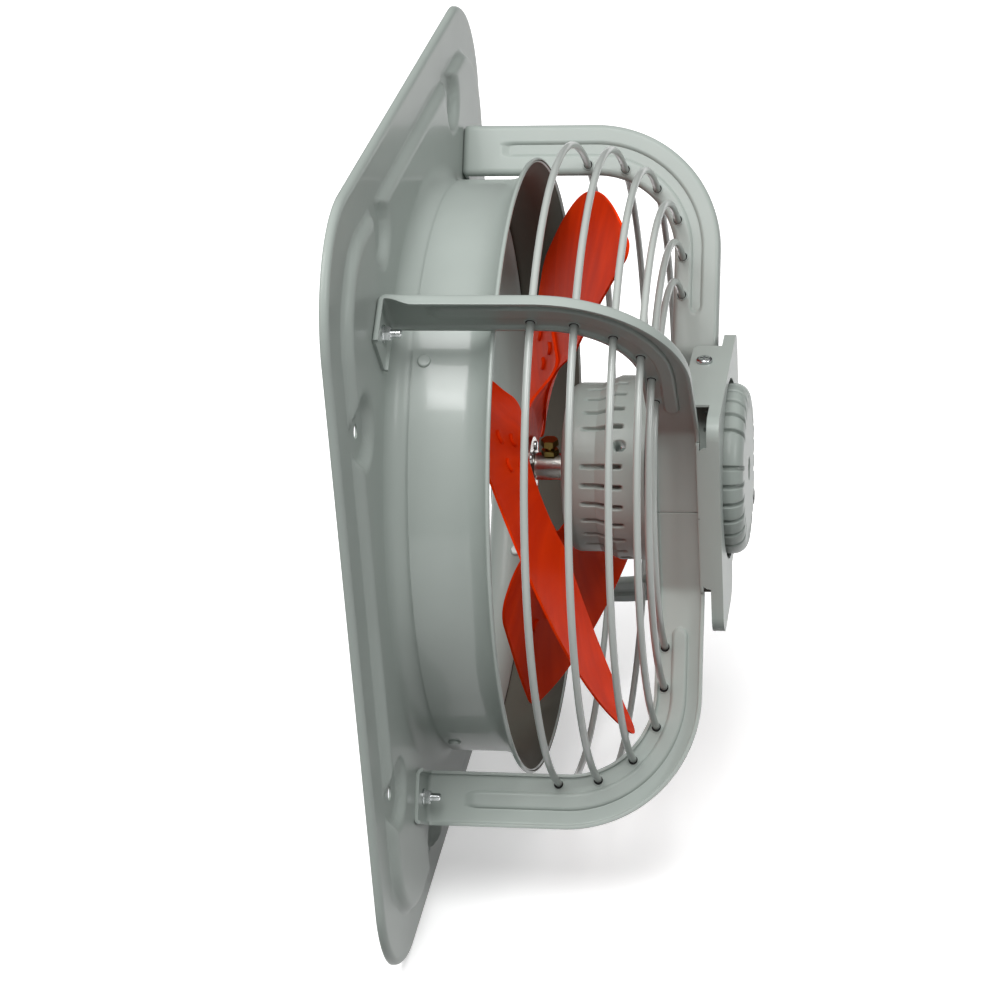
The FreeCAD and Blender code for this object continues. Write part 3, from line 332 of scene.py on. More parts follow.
def enamel(name, colour, wave, peel, roughness, coat, gloss, field=cloudy):
    """Sprayed stove enamel over sheet that isn't quite flat.

    wave is the slow unevenness of the metal and peel the fine orange peel, each mm wide and mm deep.
    """
    material, tree, out = new_material(name)
    where = object_place(tree)
    slow = add(tree, "ShaderNodeBump", Strength=1.0, Distance=wave[1] * MM,
               Height=noise(tree, where, mm=wave[0], detail=1.0))
    fine = add(tree, "ShaderNodeBump", Strength=1.0, Distance=peel[1] * MM,
               Height=noise(tree, where, mm=peel[0], detail=1.5), Normal=slow.outputs["Normal"])
    dress(tree, out, Base_Color=field(tree, where, linear(colour)), Roughness=roughness,
          Normal=fine.outputs["Normal"], Coat_Weight=coat, Coat_Roughness=0.07,
          Specular_IOR_Level=gloss)
    return material


def metal(name, colour, spread, roughness, grain_mm):
    """Bare or plated metal: the colour drifts by spread and the gloss breaks up at grain_mm."""
    material, tree, out = new_material(name)
    where = object_place(tree)
    base = linear(colour)
    drift = noise(tree, where, mm=6.0, detail=2.0)
    tint = blend(tree, drift, shade(base, 1.0 - spread), shade(base, 1.0 + spread))
    grain = noise(tree, where, mm=grain_mm, detail=2.0)
    rough = add(tree, "ShaderNodeMapRange", Value=grain, To_Min=roughness * 0.75,
                To_Max=roughness * 1.3)
    bump = add(tree, "ShaderNodeBump", Strength=0.5, Distance=0.05 * MM, Height=grain)
    dress(tree, out, Base_Color=tint, Metallic=1.0, Roughness=rough.outputs["Result"],
          Normal=bump.outputs["Normal"])
    return material


def magnet_wire():
    """Wound copper under dark red varnish: bands of turns, 5.655 mm apart along the axis."""
    material, tree, out = new_material("magnet_wire")
    # the node lays its bands a tenth of pi apart
    scale = 0.1 * math.pi / (5.655 * MM)
    turns = add(tree, "ShaderNodeTexWave", {"wave_type": "BANDS", "bands_direction": "X"},
                Vector=object_place(tree), Scale=scale, Distortion=1.5).outputs["Fac"]
    bump = add(tree, "ShaderNodeBump", Strength=0.6, Distance=0.3 * MM, Height=turns)
    dress(tree, out, Base_Color=blend(tree, turns, linear("4a2012"), linear("93502c")), Metallic=0.5,
          Roughness=0.32, Normal=bump.outputs["Normal"])
    return material


def rubber():
    """Moulded black rubber: matt, with a fine grey bloom about 1.2 mm across."""
    material, tree, out = new_material("moulded_rubber")
    bloom = noise(tree, object_place(tree), mm=1.2, detail=2.0)
    dress(tree, out, Base_Color=blend(tree, bloom, linear("0e0e0e"), linear("232323")), Roughness=0.62)
    return material


def ease(share):
    """Smooth step from 0 to 1 with level ends."""
    share = np.clip(share, 0.0, 1.0)
    return share * share * (3.0 - 2.0 * share)


def stacked(*values):
    """Puts values side by side on a last axis; single numbers and single rows are spread to fit."""
    return np.stack(np.broadcast_arrays(*values), axis=-1)


def turned(x, r, angle):
    """A profile of distances from the wall and radii, turned about the axis to each angle."""
    return stacked(x[:, None], r[:, None] * np.cos(angle), r[:, None] * np.sin(angle))


def full_turn(count):
    """Equal steps round a circle."""
    return np.linspace(0.0, 2.0 * math.pi, count, endpoint=False)


def run_along(x, r):
    """Distance along a line of points from its start."""
    return np.concatenate([[0.0], np.cumsum(np.hypot(np.diff(x), np.diff(r)))])


def grid_faces(rows, columns, wrap):
    """Quads of a grid of points, row after row; wrap joins the last column to the first."""
    across = columns if wrap else columns - 1
    i, j = np.meshgrid(np.arange(rows - 1) * columns, np.arange(across), indexing="ij")
    k = (j + 1) % columns
    return np.stack([i + j, i + k, i + columns + k, i + columns + j], axis=-1).reshape(-1, 4)


def mirrored(faces, way_y, way_z):
    """Faces of a mirror image: a single mirror turns them inside out, so they are turned back."""
    return faces if way_y * way_z > 0 else faces[:, ::-1]


def sheet_object(name, points, faces, material):
    """Smooth shaded mesh object of points in metres."""
    mesh = bpy.data.meshes.new(name)
    mesh.from_pydata(points.reshape(-1, 3).tolist(), [], faces.tolist())
    mesh.polygons.foreach_set("use_smooth", np.ones(len(mesh.polygons), dtype=bool))
    mesh.materials.append(material)
    thing = bpy.data.objects.new(name, mesh)
    bpy.context.scene.collection.objects.link(thing)
    return thing


def thicken(thing, thickness, offset):
    """Gives a sheet its thickness: offset 0 to both sides, -1 to the back."""
    wall = thing.modifiers.new("thickness", "SOLIDIFY")
    wall.thickness = thickness
    wall.offset = offset


def break_edges(thing, width):
    """Breaks the sharp edges of a sheet."""
    broken = thing.modifiers.new("edge", "BEVEL")
    broken.width = width
    broken.segments = 2
    broken.limit_method = "ANGLE"
    broken.angle_limit = math.radians(50.0)


def rounded_square(half, corner, count):
    """Points and outward directions of a square with round corners, at equal steps of its length."""
    flat = 2.0 * (half - corner)
    arc = 0.5 * math.pi * corner
    along = np.linspace(0.0, 4.0 * (flat + arc), count, endpoint=False)
    side = np.floor(along / (flat + arc))
    part = along - side * (flat + arc)
    angle = np.clip((part - flat) / corner, 0.0, 0.5 * math.pi)
    y = half - corner + corner * np.cos(angle)
    z = np.minimum(part, flat) - 0.5 * flat + corner * np.sin(angle)
    turn = 0.5 * math.pi * side
    cos, sin = np.cos(turn), np.sin(turn)
    spot = stacked(y * cos - z * sin, y * sin + z * cos)
    return spot, stacked(np.cos(angle + turn), np.sin(angle + turn))


def square_distance(y, z, half, corner):
    """Signed distance to a square with round corners, negative inside."""
    qy = np.abs(y) - half + corner
    qz = np.abs(z) - half + corner
    outside = np.hypot(np.maximum(qy, 0.0), np.maximum(qz, 0.0))
    return outside + np.minimum(np.maximum(qy, qz), 0.0) - corner


def plate_surface(size, count, rows):
    """Front of the plate, from the middle out.

    Collar, quarter round cove, flat field, slope with a bite round each hole, band and turned edge.
    The slope's height is one minus a power of the share still to climb: steep at its foot, level at
    its top.
    """
    spot, out = rounded_square(size.half, size.corner, count)
    around = np.arctan2(spot[:, 1], spot[:, 0])
    top = size.lip + size.rise
    bend = np.linspace(0.0, 0.5 * math.pi, 13)[1:]
    x = np.concatenate([[size.collar_end, top + size.cove], top + size.cove * (1.0 - np.sin(bend))])
    r = np.concatenate([[size.collar, size.collar], size.collar + size.cove * (1.0 - np.cos(bend))])
    cove = turned(x, r, around)
    share = np.linspace(0.0, 1.0, rows + 1)[1:, None, None]
    flat = cove[-1, :, 1:] * (1.0 - share) + (spot - out * size.roll) * share
    y, z = flat[..., 0], flat[..., 1]
    hy, hz = np.abs(y), np.abs(z)
    bite = np.minimum(np.hypot(hy - size.hole_row, hz - size.hole_step),
                      np.hypot(hy - size.hole_step, hz - size.hole_row))
    field = square_distance(y, z, size.half - size.margin, size.field_corner)
    climb = np.clip(-np.maximum(field, size.bite - bite) / size.slope, 0.0, 1.0)
    height = size.lip + size.rise * (1.0 - (1.0 - climb) ** size.crown)
    turn = np.linspace(0.0, 0.5 * math.pi, 8)[1:, None]
    edge = spot - out * (size.roll * (1.0 - np.sin(turn)))[..., None]
    rolled = stacked(size.lip - size.roll * (1.0 - np.cos(turn)), edge[..., 0], edge[..., 1])
    foot = stacked(0.0, spot[None, :, 0], spot[None, :, 1])
    return np.concatenate([cove, stacked(height, y, z), rolled, foot])


def drilled(thing, size):
    """Cuts the eight mounting holes: the plate minus one round bar through each hole."""
    sides = 48
    start, long = -20.0 * MM, 50.0 * MM
    turn = full_turn(sides)
    pairs = ((size.hole_row, size.hole_step), (size.hole_step, size.hole_row))
    spots = [(a * p, b * q) for p, q in pairs for a in (-1, 1) for b in (-1, 1)]
    points, faces = [], []
    for number, (y, z) in enumerate(spots):
        ring = stacked(start, y + size.hole * np.cos(turn), z + size.hole * np.sin(turn))
        points += ring.tolist() + (ring + [long, 0.0, 0.0]).tolist()
        low = 2 * sides * number
        high = low + sides
        faces += (grid_faces(2, sides, wrap=True) + low).tolist()
        faces += [list(range(high - 1, low - 1, -1)), list(range(high, high + sides))]
    mesh = bpy.data.meshes.new("drill")
    mesh.from_pydata(points, [], faces)
    drill = bpy.data.objects.new("drill", mesh)
    bpy.context.scene.collection.objects.link(drill)
    cut = thing.modifiers.new("holes", "BOOLEAN")
    cut.object = drill
    cut.operation = "DIFFERENCE"
    cut.solver = "EXACT"
    bpy.context.view_layer.update()
    before = len(thing.data.polygons)
    done = bpy.data.meshes.new_from_object(thing.evaluated_get(bpy.context.evaluated_depsgraph_get()))
    thing.modifiers.clear()
    thing.data = done
    bpy.data.objects.remove(drill)
    if len(done.polygons) < before:
        raise RuntimeError("the plate was lost while its holes were cut")


def arm_path(size):
    """Table of the edges along an arm, and where its end is folded.

    Columns, for the inner and the outer edge: distance from the wall, distance come in along the web,
    distance off the web; then the turned edge's direction, as away from the wall and off the web.
    """
    bend = size.foot_bend
    low = size.seat + 0.5 * size.sheet
    # foot, from its free end to the bend, then the bend up into the web
    n = np.linspace(size.foot, bend, 12)
    foot = stacked(low, low, 0.0, 0.0, n, n, 1.0, 0.0)
    quarter = np.linspace(0.0, 0.5 * math.pi, 9)[1:]
    x = low + bend * (1.0 - np.cos(quarter))
    n = bend * (1.0 - np.sin(quarter))
    ankle = stacked(x, x, 0.0, 0.0, n, n, np.cos(quarter), np.sin(quarter))
    # straight part, away from the wall
    start = low + bend
    xi_end, xo_end = size.run - size.inner_bend, size.rear - size.outer_bend
    share = np.linspace(0.0, 1.0, 31)[1:]
    xi, xo = start + (xi_end - start) * share, start + (xo_end - start) * share
    post = stacked(xi, xo, 0.0, 0.0, 0.0, 0.0, 0.0, 1.0)
    # wide bend
    turn = np.linspace(0.0, 0.5 * math.pi, 57)[1:]
    xi, xo = xi_end + size.inner_bend * np.sin(turn), xo_end + size.outer_bend * np.sin(turn)
    ki, ko = size.inner_bend * (1.0 - np.cos(turn)), size.outer_bend * (1.0 - np.cos(turn))
    elbow = stacked(xi, xo, ki, ko, 0.0, 0.0, 0.0, 1.0)
    # cross run, past the fold and on to the seam with the next arm
    lean = size.angle
    fold = (size.tab - size.offset * math.cos(lean)) / math.sin(lean)
    drop = fold * math.cos(lean) - size.offset * math.sin(lean)
    end = fold - drop + size.seam
    share = np.linspace(0.0, 1.0, 91)[1:]
    ki = size.inner_bend + (size.inner - size.inner_bend - end) * share
    ko = size.outer_bend + (size.outer - size.outer_bend - end) * share
    cross = stacked(size.run, size.rear, ki, ko, 0.0, 0.0, 0.0, 1.0)
    return np.concatenate([foot, ankle, post, elbow, cross]), fold


def arm_surface(size):
    """Middle of an arm's sheet, as distances from the wall, along the web and off the web.

    Across an arm: a small turned inner edge, a flat web with a flat topped bead, and the outer edge
    turned up round a small radius.
    """
    path, fold = arm_path(size)
    width = size.outer - size.inner
    bend = size.edge_bend
    curl = np.linspace(0.0, 0.5 * math.pi, 8)[1:]
    flat = np.linspace(0.0, 1.0 - bend / width, 56) * width
    inner = size.hem * stacked(1.0 - np.sin(curl[::-1]), 1.0 - np.cos(curl[::-1]))
    web = stacked(flat[flat > size.hem], 0.0)
    lip = stacked(width - bend + bend * np.sin(curl), bend * (1.0 - np.cos(curl)))
    stand = stacked(width, np.linspace(bend, size.flange, 6)[1:])
    across = np.concatenate([inner, web, lip, stand])
    share = across[:, 0] / width
    xi, xo, ki, ko, ni, no, ax, an = [path[:, k:k + 1] for k in range(8)]
    x = xi + (xo - xi) * share
    s = (size.inner - ki) + ((size.outer - ko) - (size.inner - ki)) * share
    n = ni + (no - ni) * share
    # the turned edge grows where the end is folded beside the motor
    grow = ease((fold + size.tab_lead - s[:, -1:]) / size.tab_grow)
    tall = 1.0 + grow * (size.tab_flange / size.flange - 1.0)
    # and it dies away to a low cheek on the foot
    grow = ease((xi - size.seat - 0.5 * size.sheet - size.foot_bend) / size.cheek_run)
    tall = tall * (size.cheek + (1.0 - size.cheek) * grow)
    rise = np.where(np.arange(len(across)) < len(inner), across[:, 1], across[:, 1] * tall)
    # bead along the middle of the web, with round ends
    away = np.abs(share - 0.5) * width
    middle = int(np.argmin(away))
    beyond = np.maximum(size.bead_from - x[:, middle], size.bead_end - s[:, middle])
    inside = 0.5 * size.bead - np.hypot(away, np.maximum(beyond, 0.0)[:, None])
    bead = size.bead_rise * ease(inside / size.bead_side) * (across[:, 1] == 0.0)
    return stacked(x + ax * (rise + bead), s, n + an * (rise + bead)), fold


def stand_arm(flat, fold, size):
    """Places an arm: its web leans, and past the fold it stands upright.

    The lean eases in over the fold, so the web's line is summed up from its slope, and then moved so
    that it lies in the leaning plane at a point well away from the fold.
    """
    x, s, n = flat[..., 0], flat[..., 1], flat[..., 2]
    lean, soft = size.angle, size.fold_soft
    before, after, away = 0.09, 0.25, 0.2
    low = np.linspace(fold - before, fold + after, 3401)
    step = low[1] - low[0]
    tilt = lean * ease((low - fold + soft) / (2.0 * soft))
    y_line = np.cumsum(np.sin(tilt)) * step
    z_line = np.cumsum(np.cos(tilt)) * step
    at = int(round((away + before) / step))
    y_line += size.offset * math.cos(lean) + low[at] * math.sin(lean) - y_line[at]
    z_line += low[at] * math.cos(lean) - size.offset * math.sin(lean) - z_line[at]
    y, z, t = [np.interp(s, low, line) for line in (y_line, z_line, tilt)]
    return stacked(x, -y - n * np.cos(t), z - n * np.sin(t))


def ring_surface(centre, u, v, n, radii, heights, count):
    """Rings about a normal: a short profile of radii and heights, turned through a full circle."""
    turn = full_turn(count)
    spin = np.cos(turn)[:, None] * u + np.sin(turn)[:, None] * v
    return centre + np.asarray(radii)[:, None, None] * spin + np.asarray(heights)[:, None, None] * n


def hoop_crossings(size):
    """Where each guard hoop meets the middle of the near top web.

    Distance from the wall, distance along the web and the wire's radius.
    """
    spots = []
    for node in sorted(n for n in FRAME["nodes"] if n.startswith("guard_ring")):
        low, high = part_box(node)
        wire = 0.5 * (high.x - low.x)
        along = math.sqrt((high.y - wire) ** 2 - size.offset ** 2)
        spots.append((0.5 * (low.x + high.x), along, wire))
    return spots


def duct_surface(size, count):
    """Duct: a closed sheet profile of cylinder, flare and round rim bead, turned about the axis.

    Also the first row of faces that lies inside the duct, past the bead.
    """
    top = math.asin((size.rim - size.flare_from) / size.flare)
    bend = np.linspace(0.0, top, 15)
    back = bend[::-1]
    outer = size.radius + size.sheet
    centre = outer + size.flare
    wide = size.flare + size.sheet
    middle = size.flare + 0.5 * size.sheet
    # the bead leaves out the part of its circle that lies in the sheet
    reach = 0.9 * math.pi
    curl = np.linspace(top + reach, top - reach, 17)
    bead_x = size.flare_from + middle * math.sin(top) - size.bead * np.sin(curl)
    bead_r = centre - middle * math.cos(top) + size.bead * np.cos(curl)
    x = np.concatenate([[size.back], size.flare_from + size.flare * np.sin(bend), bead_x,
                        size.flare_from + wide * np.sin(back), [size.back, size.back]])
    r = np.concatenate([[outer], centre - size.flare * np.cos(bend), bead_r,
                        centre - wide * np.cos(back), [size.radius, outer]])
    return turned(x, r, full_turn(count)), len(bend) + len(curl)


def shield_profile(size, long, steps):
    """Skirt end to bore, as distance back from the face and radius.

    Skirt, sloped step, shoulder, round corner, flat face and the start of the bore.
    """
    turn = np.linspace(0.0, 0.5 * math.pi, 15)
    skirt = [(long, size.core), (long, size.radius), (size.shoulder_long + size.step, size.radius),
             (size.shoulder_long, size.shoulder)]
    corner = stacked(size.corner * (1.0 - np.sin(turn)),
                     size.shoulder - size.corner * (1.0 - np.cos(turn)))
    marks = np.concatenate([skirt, corner, [(0.0, size.bore), (size.bore_deep, size.bore)]])
    run = run_along(marks[:, 0], marks[:, 1])
    face = run[-3]
    at = np.concatenate([run, np.linspace(0.0, face, steps), np.linspace(face, run[-1], 24)])
    at = np.unique(at)
    return np.interp(at, run, marks[:, 0]), np.interp(at, run, marks[:, 1])


def shield_surface(size, front):
    """Cast shield: a turned profile that drops to a floor in each groove and runs out at its ends."""
    back, radius = shield_profile(size, size.skirt if front else size.rear_skirt, steps=72)
    turn = full_turn(count=784)
    x = size.front + back if front else size.rear - back
    # grooves are counted from the top, and some give way to the through bolts
    pitch = 2.0 * math.pi / size.grooves
    number = np.round((turn - 0.5 * math.pi) / pitch)
    bolt = np.mod(number, size.grooves // size.bolts) == size.first_bolt
    # share of a groove's depth, across its width and along the profile
    across = (turn - 0.5 * math.pi - number * pitch) * radius[:, None]
    run = run_along(back, radius)
    out = run[np.argmin(np.abs(back) + np.abs(radius - size.shoulder + size.corner))] - run
    start, end = (size.groove_from, size.groove_to) if front else (size.rear_from, size.rear_to)
    along = np.clip((out - start) / size.start_fade, 0.0, 1.0)
    along *= np.clip((end - out) / size.end_fade, 0.0, 1.0)
    cut = ease((0.5 * size.groove - np.abs(across)) / size.groove_side) * along[:, None] * ~bolt
    if front:
        # the floors of the grooves run level under the shoulder and the skirt
        deep = x[:, None]
        shaped = radius[:, None] - cut * np.maximum(radius - size.shoulder + size.depth, 0.0)[:, None]
        inside = (np.hypot(across, (back - size.pocket_at)[:, None]) < 0.5 * size.pocket) & bolt
        shaped = np.where(inside, np.minimum(shaped, size.pocket_floor), shaped)
    else:
        # the grooves are cut square to the profile, round the corner and into the face
        deep = x[:, None] + size.depth * cut * np.gradient(radius, run)[:, None]
        shaped = radius[:, None] + size.depth * cut * np.gradient(back, run)[:, None]
        # flat pads at the top and the bottom, clear of the sides and the bore
        y, z = shaped * np.cos(turn), shaped * np.sin(turn)
        clear, steepest = 30.0 * MM, 0.2
        on_pad = (np.abs(y * np.sign(z) - size.pad_at) < 0.5 * size.pad_wide) & (np.abs(z) > clear)
        on_pad &= ((x > size.pad_from) & (x < size.pad_from + size.pad_long))[:, None]
        shaped = np.where(on_pad, size.pad / np.maximum(np.abs(np.sin(turn)), steepest), shaped)
    return stacked(deep, shaped * np.cos(turn), shaped * np.sin(turn))


def paint(node, material):
    """Gives a CAD node its finish."""
    data = FRAME["nodes"][node].data
    data.materials.clear()
    data.materials.append(material)


class FAN_OT_finish(bpy.types.Operator):
    """Give every CAD node its finish"""
    bl_idname = "fan.finish"
    bl_label = "Finishes"

    def execute(self, context):
        colours = context.scene.fan_colours
        # pressed sheet: satin, with long soft waves that bend what it mirrors
        sheet = enamel("stove_enamel", colours.enamel, wave=(95.0, 0.55), peel=(2.4, 0.012),
                       roughness=0.38, coat=0.1, gloss=0.2)
        # rolled duct: the same coat with more gloss, so that the lamps draw lines on it
        duct = enamel("duct_enamel", colours.enamel, wave=(95.0, 0.5), peel=(2.4, 0.012),
                      roughness=0.36, coat=0.35, gloss=0.4)
        # painted shade: brown and dull, it darkens the duct's inside in place of the shade that falls
        # in it
        enamel("duct_primer", colours.inside, wave=(60.0, 0.3), peel=(1.4, 0.02),
               roughness=0.7, coat=0.0, gloss=0.08)
        # casting: short rough waves show through the coat; its colour, a little darker than the
        # sheet's, is partly painted shade
        cast = enamel("enamelled_casting", colours.casting, wave=(14.0, 0.16), peel=(1.6, 0.03),
                      roughness=0.42, coat=0.12, gloss=0.25)
        # drawn wire: smooth, with a bright line along each hoop
        wire = enamel("enamelled_wire", colours.wire, wave=(60.0, 0.2), peel=(2.0, 0.01),
                      roughness=0.32, coat=0.4, gloss=0.4)
        # painted shade: black and dull rings that stand for the dark gaps of the punched holes
        enamel("punched_shadow", "0c0d0d", wave=(20.0, 0.1), peel=(2.0, 0.01),
               roughness=0.8, coat=0.0, gloss=0.4)
        # blades: dull red that takes nearly no highlight, with faint streaks of painted highlight and
        # shade
        blade = enamel("blade_enamel", colours.blade, wave=(48.0, 0.3), peel=(2.2, 0.008),
                       roughness=0.5, coat=0.0, gloss=0.03, field=painted_streaks)
        made = {
            "enamel": sheet,
            "red_enamel": blade,
            # bright and cool, slightly cloudy
            "zinc_steel": metal("zinc_plate", "c2c5c5", spread=0.12, roughness=0.24, grain_mm=1.5),
            # bright and warm, even
            "bright_steel": metal("turned_steel", "c4c0ba", spread=0.06, roughness=0.22, grain_mm=0.9),
            # olive gold, patchy
            "yellow_zinc": metal("yellow_passivate", "92834a", spread=0.2, roughness=0.3,
                                 grain_mm=1.2),
            # dark and dull, finely grained
            "lamination_steel": metal("lamination", "55555a", spread=0.1, roughness=0.45,
                                      grain_mm=0.7),
            "enamelled_copper": magnet_wire(),
            "black_rubber": rubber(),
        }
        own = {"duct_ring": duct, "duct_rivets": duct, "blade_rivets": blade,
               "motor_front_shield": cast, "motor_rear_shield": cast}
        for part in FRAME["record"]["subparts"]:
            node = part["node"]
            finish = own.get(node, made[part["material_slot"]])
            paint(node, wire if node.startswith("guard_ring") else finish)
        return {"FINISHED"}


class FAN_OT_plate(bpy.types.Operator):
    """Build the pressed wall plate"""
    bl_idname = "fan.plate"
    bl_label = "Wall plate"

    def execute(self, context):
        size = context.scene.fan_plate
        points = plate_surface(size, count=560, rows=62)
        faces = grid_faces(points.shape[0], points.shape[1], wrap=True)[:, ::-1]
        thing = sheet_object("plate_sheet", points, faces, bpy.data.materials["stove_enamel"])
        thicken(thing, size.sheet, offset=-1.0)
        drilled(thing, size)
        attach(thing, "housing")
        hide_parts("wall_plate")
        return {"FINISHED"}


class FAN_OT_duct(bpy.types.Operator):
    """Build the flared duct ring"""
    bl_idname = "fan.duct"
    bl_label = "Duct ring"

    def execute(self, context):
        points, mouth = duct_surface(context.scene.fan_duct, count=640)
        rows, columns = points.shape[:2]
        faces = grid_faces(rows, columns, wrap=True)
        thing = sheet_object("duct_sheet", points, faces, bpy.data.materials["duct_enamel"])
        thing.data.materials.append(bpy.data.materials["duct_primer"])
        # the last row of faces is the sheet's edge at the back
        row = np.arange(len(faces)) // columns
        # faces inside the duct, past the bead, get the dark painted shade
        inside = (row >= mouth) & (row < rows - 2)
        thing.data.polygons.foreach_set("material_index", inside.astype(np.int32))
        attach(thing, "housing")
        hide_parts("duct_ring")
        return {"FINISHED"}


class FAN_OT_arms(bpy.types.Operator):
    """Build the four pressed arms"""
    bl_idname = "fan.arms"
    bl_label = "Arms"

    def execute(self, context):
        size = context.scene.fan_arm
        flat, fold = arm_surface(size)
        near_top = stand_arm(flat, fold, size)
        faces = grid_faces(flat.shape[0], flat.shape[1], wrap=False)
        for node, way_y, way_z in ARMS:
            thing = sheet_object(node + "_sheet", near_top * [1.0, way_y, way_z],
                                 mirrored(faces, way_y, way_z), bpy.data.materials["stove_enamel"])
            thicken(thing, size.sheet, offset=0.0)
            break_edges(thing, size.edge)
            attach(thing, "housing")
            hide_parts(node)
        return {"FINISHED"}


class FAN_OT_shields(bpy.types.Operator):
    """Build the two cast motor shields"""
    bl_idname = "fan.shields"
    bl_label = "Motor shields"

    def execute(self, context):
        size = context.scene.fan_motor
        for node, front in (("motor_front_shield", True), ("motor_rear_shield", False)):
            points = shield_surface(size, front)
            faces = grid_faces(points.shape[0], points.shape[1], wrap=True)
            thing = sheet_object(node + "_cast", points, faces if front else faces[:, ::-1],
                                 bpy.data.materials["enamelled_casting"])
            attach(thing, "housing")
            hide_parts(node)
        return {"FINISHED"}


class FAN_OT_holes(bpy.types.Operator):
    """Build the raised rims and the black rings of painted shade that stand for the holes the guard
    hoops pass through
    """
    bl_idname = "fan.holes"
    bl_label = "Hoop holes"

    def execute(self, context):
        arm, hole = context.scene.fan_arm, context.scene.fan_hole
        cos, sin = math.cos(arm.angle), math.sin(arm.angle)
        axis = np.array([1.0, 0.0, 0.0])
        along = np.array([0.0, -sin, cos])
        out = np.array([0.0, -cos, -sin])
        count = 24
        tube = np.linspace(0.0, math.pi, 7)
        rims, painted_shade_rings = [], []
        for x, s, wire in hoop_crossings(arm):
            radius = wire + hole.gap
            centre = arm.offset * out + axis * x + along * (s + hole.shift)
            # one ring on each face of the web
            for side in (1.0, -1.0):
                frame = (centre + out * side * 0.5 * arm.sheet, axis, along * side, out * side)
                rims.append(ring_surface(*frame, radius + hole.rim * (1.0 + np.cos(tube)),
                                         hole.rise * np.sin(tube), count))
                # a black ring of painted shade where the gap round the hoop would look dark
                painted_shade_rings.append(ring_surface(*frame, [radius, wire - hole.under],
                                         [hole.lift, hole.dip], count))
        for name, rings, finish in (("hoop_hole_rims", rims, "stove_enamel"),
                                    ("hoop_hole_painted_shade_rings", painted_shade_rings, "punched_shadow")):
            near_top = np.array(rings).reshape(-1, 3)
            block = grid_faces(len(rings[0]), count, wrap=True)
            each = len(rings[0]) * count
            faces = np.concatenate([block + each * k for k in range(len(rings))])
            points = np.concatenate([near_top * [1.0, way_y, way_z] for _, way_y, way_z in ARMS])
            turns = [mirrored(faces, way_y, way_z) for _, way_y, way_z in ARMS]
            faces = np.concatenate([quads + len(near_top) * k for k, quads in enumerate(turns)])
            thing = sheet_object(name, points, faces, bpy.data.materials[finish])
            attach(thing, "housing")
        return {"FINISHED"}


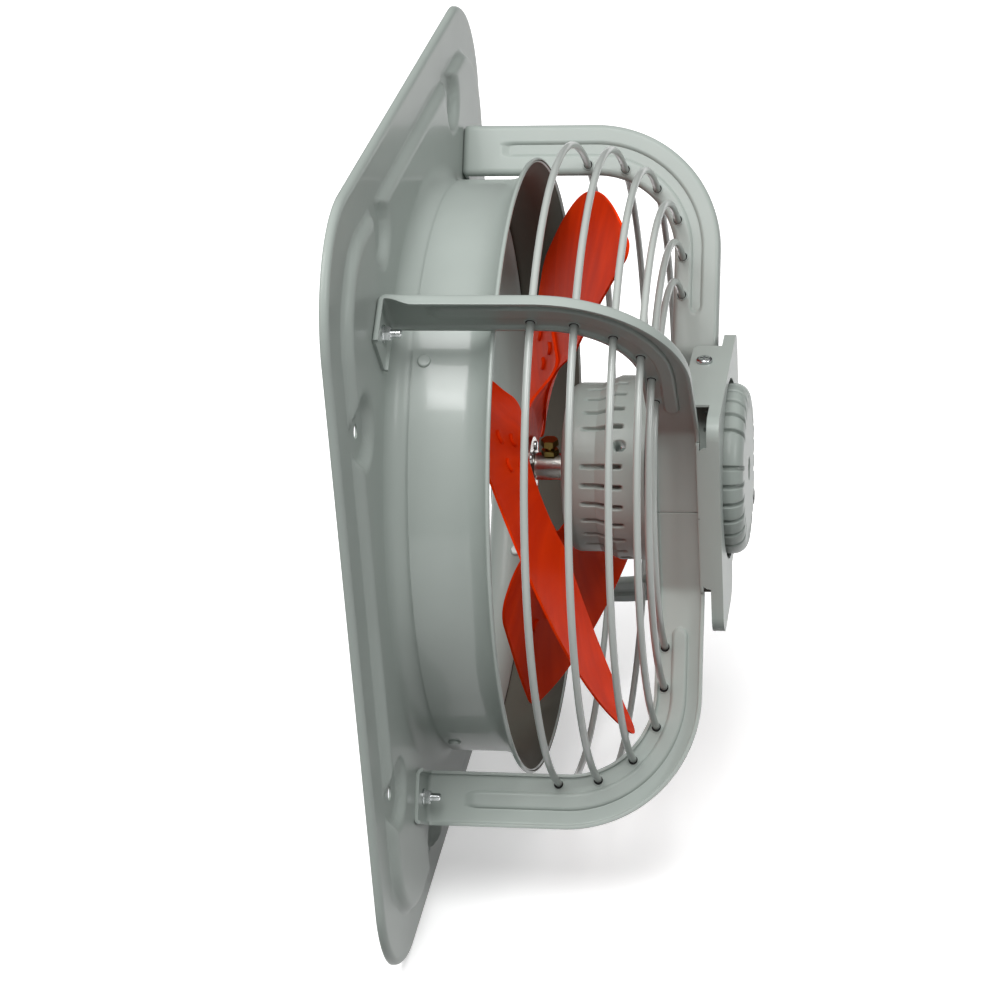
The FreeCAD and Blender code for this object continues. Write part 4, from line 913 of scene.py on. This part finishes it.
class FAN_OT_stage(bpy.types.Operator):
    """Set up the pale floor, the soft lights and the camera"""
    bl_idname = "fan.stage"
    bl_label = "Stage"

    def execute(self, context):
        scene = context.scene
        low = CAD_BOX[0].z
        half = 9.0
        corners = [(a * half, b * half, low) for a, b in ((-1, -1), (1, -1), (1, 1), (-1, 1))]
        mesh = bpy.data.meshes.new("floor")
        mesh.from_pydata(corners, [], [(0, 1, 2, 3)])
        floor = bpy.data.objects.new("floor", mesh)
        scene.collection.objects.link(floor)
        floor.data.materials.append(self.floor_finish(scene.fan_colours.floor))
        self.light_world(scene)
        for name, place, size, power in LAMPS:
            data = bpy.data.lights.new(name, "AREA")
            data.shape = "RECTANGLE"
            data.size, data.size_y = size
            data.energy = power
            lamp = bpy.data.objects.new(name, data)
            scene.collection.objects.link(lamp)
            lamp.location = place
            lamp.rotation_mode = "QUATERNION"
            lamp.rotation_quaternion = (-Vector(place)).to_track_quat("-Z", "Y")
        self.place_camera(scene)
        scene.view_settings.view_transform = "Standard"
        return {"FINISHED"}

    def floor_finish(self, colour):
        """Pale floor: white to the eye and in mirrors, mid grey for the light that it throws back."""
        material, tree, out = new_material("painted_floor")
        path = add(tree, "ShaderNodeLightPath").outputs
        total = {"operation": "ADD", "use_clamp": True}
        seen = add(tree, "ShaderNodeMath", total, i0=path["Is Camera Ray"], i1=path["Is Glossy Ray"])
        shown = add(tree, "ShaderNodeMath", total, i0=seen.outputs[0], i1=path["Is Transmission Ray"])
        dull = add(tree, "ShaderNodeBsdfDiffuse", Color=linear("505050"))
        pale = add(tree, "ShaderNodeBsdfDiffuse", Color=linear(colour))
        glow = add(tree, "ShaderNodeEmission", Color=linear("ffffff"), Strength=0.42)
        both = add(tree, "ShaderNodeAddShader", i0=pale.outputs[0], i1=glow.outputs[0])
        mix = add(tree, "ShaderNodeMixShader", i0=shown.outputs[0], i1=dull.outputs[0],
                  i2=both.outputs[0])
        tree.links.new(mix.outputs[0], out.inputs["Surface"])
        return material

    def light_world(self, scene):
        """Soft sky: bright above the viewer, dim behind the fan, white to the eye."""
        world = bpy.data.worlds.new("studio")
        scene.world = world
        world.use_nodes = True
        tree = world.node_tree
        tree.nodes.clear()
        out = tree.nodes.new("ShaderNodeOutputWorld")
        brightest = (-0.05, -0.4, 0.9)
        toward = add(tree, "ShaderNodeVectorMath", {"operation": "DOT_PRODUCT"}, i1=brightest,
                     i0=add(tree, "ShaderNodeTexCoord").outputs["Generated"])
        level = add(tree, "ShaderNodeMapRange", Value=toward.outputs["Value"], From_Min=0.15,
                    From_Max=1.0, To_Min=0.08, To_Max=0.85)
        path = add(tree, "ShaderNodeLightPath")
        white = linear("ffffff")
        sky = add(tree, "ShaderNodeBackground", Color=white, Strength=level.outputs["Result"])
        plain = add(tree, "ShaderNodeBackground", Color=white, Strength=1.0)
        mix = add(tree, "ShaderNodeMixShader", i0=path.outputs["Is Camera Ray"], i1=sky.outputs[0],
                  i2=plain.outputs[0])
        tree.links.new(mix.outputs[0], out.inputs["Surface"])

    def place_camera(self, scene):
        """Camera at its place, aimed by azimuth and elevation and rolled about the line of sight."""
        shot = scene.fan_camera
        data = bpy.data.cameras.new("camera")
        data.lens = shot.lens
        data.sensor_width = 36.0
        data.shift_y = shot.shift
        camera = bpy.data.objects.new("camera", data)
        scene.collection.objects.link(camera)
        az, el = math.radians(shot.azimuth), math.radians(shot.elevation)
        sight = Vector((-math.sin(az) * math.cos(el), math.cos(az) * math.cos(el), -math.sin(el)))
        turn = sight.to_track_quat("-Z", "Y").to_matrix().to_4x4()
        camera.matrix_world = (Matrix.Translation(Vector(shot.place)) @ turn
                               @ Matrix.Rotation(math.radians(shot.roll), 4, "Z"))
        scene.camera = camera


class FAN_PT_panel(bpy.types.Panel):
    """Buttons for every piece of the fan"""
    bl_idname = "FAN_PT_panel"
    bl_label = "Wall Fan"
    bl_space_type = "VIEW_3D"
    bl_region_type = "UI"
    bl_category = "Wall Fan"

    def draw(self, context):
        for operator in OPERATORS:
            self.layout.operator(operator.bl_idname)


GROUPS = {"fan_plate": FanPlate, "fan_duct": FanDuct, "fan_arm": FanArm, "fan_hole": FanHole,
          "fan_motor": FanMotor, "fan_camera": FanCamera, "fan_colours": FanColours}
OPERATORS = (FAN_OT_finish, FAN_OT_plate, FAN_OT_duct, FAN_OT_arms, FAN_OT_shields, FAN_OT_holes,
             FAN_OT_stage)


def register():
    for cls in tuple(GROUPS.values()) + OPERATORS + (FAN_PT_panel,):
        bpy.utils.register_class(cls)
    for name, cls in GROUPS.items():
        setattr(bpy.types.Scene, name, bpy.props.PointerProperty(type=cls))


def unregister():
    for name in GROUPS:
        delattr(bpy.types.Scene, name)
    for cls in reversed(tuple(GROUPS.values()) + OPERATORS + (FAN_PT_panel,)):
        bpy.utils.unregister_class(cls)


def main():
    register()
    bpy.ops.fan.finish()
    bpy.ops.fan.plate()
    bpy.ops.fan.duct()
    bpy.ops.fan.arms()
    bpy.ops.fan.shields()
    bpy.ops.fan.holes()
    bpy.ops.fan.stage()


if __name__ == "__main__":
    main()
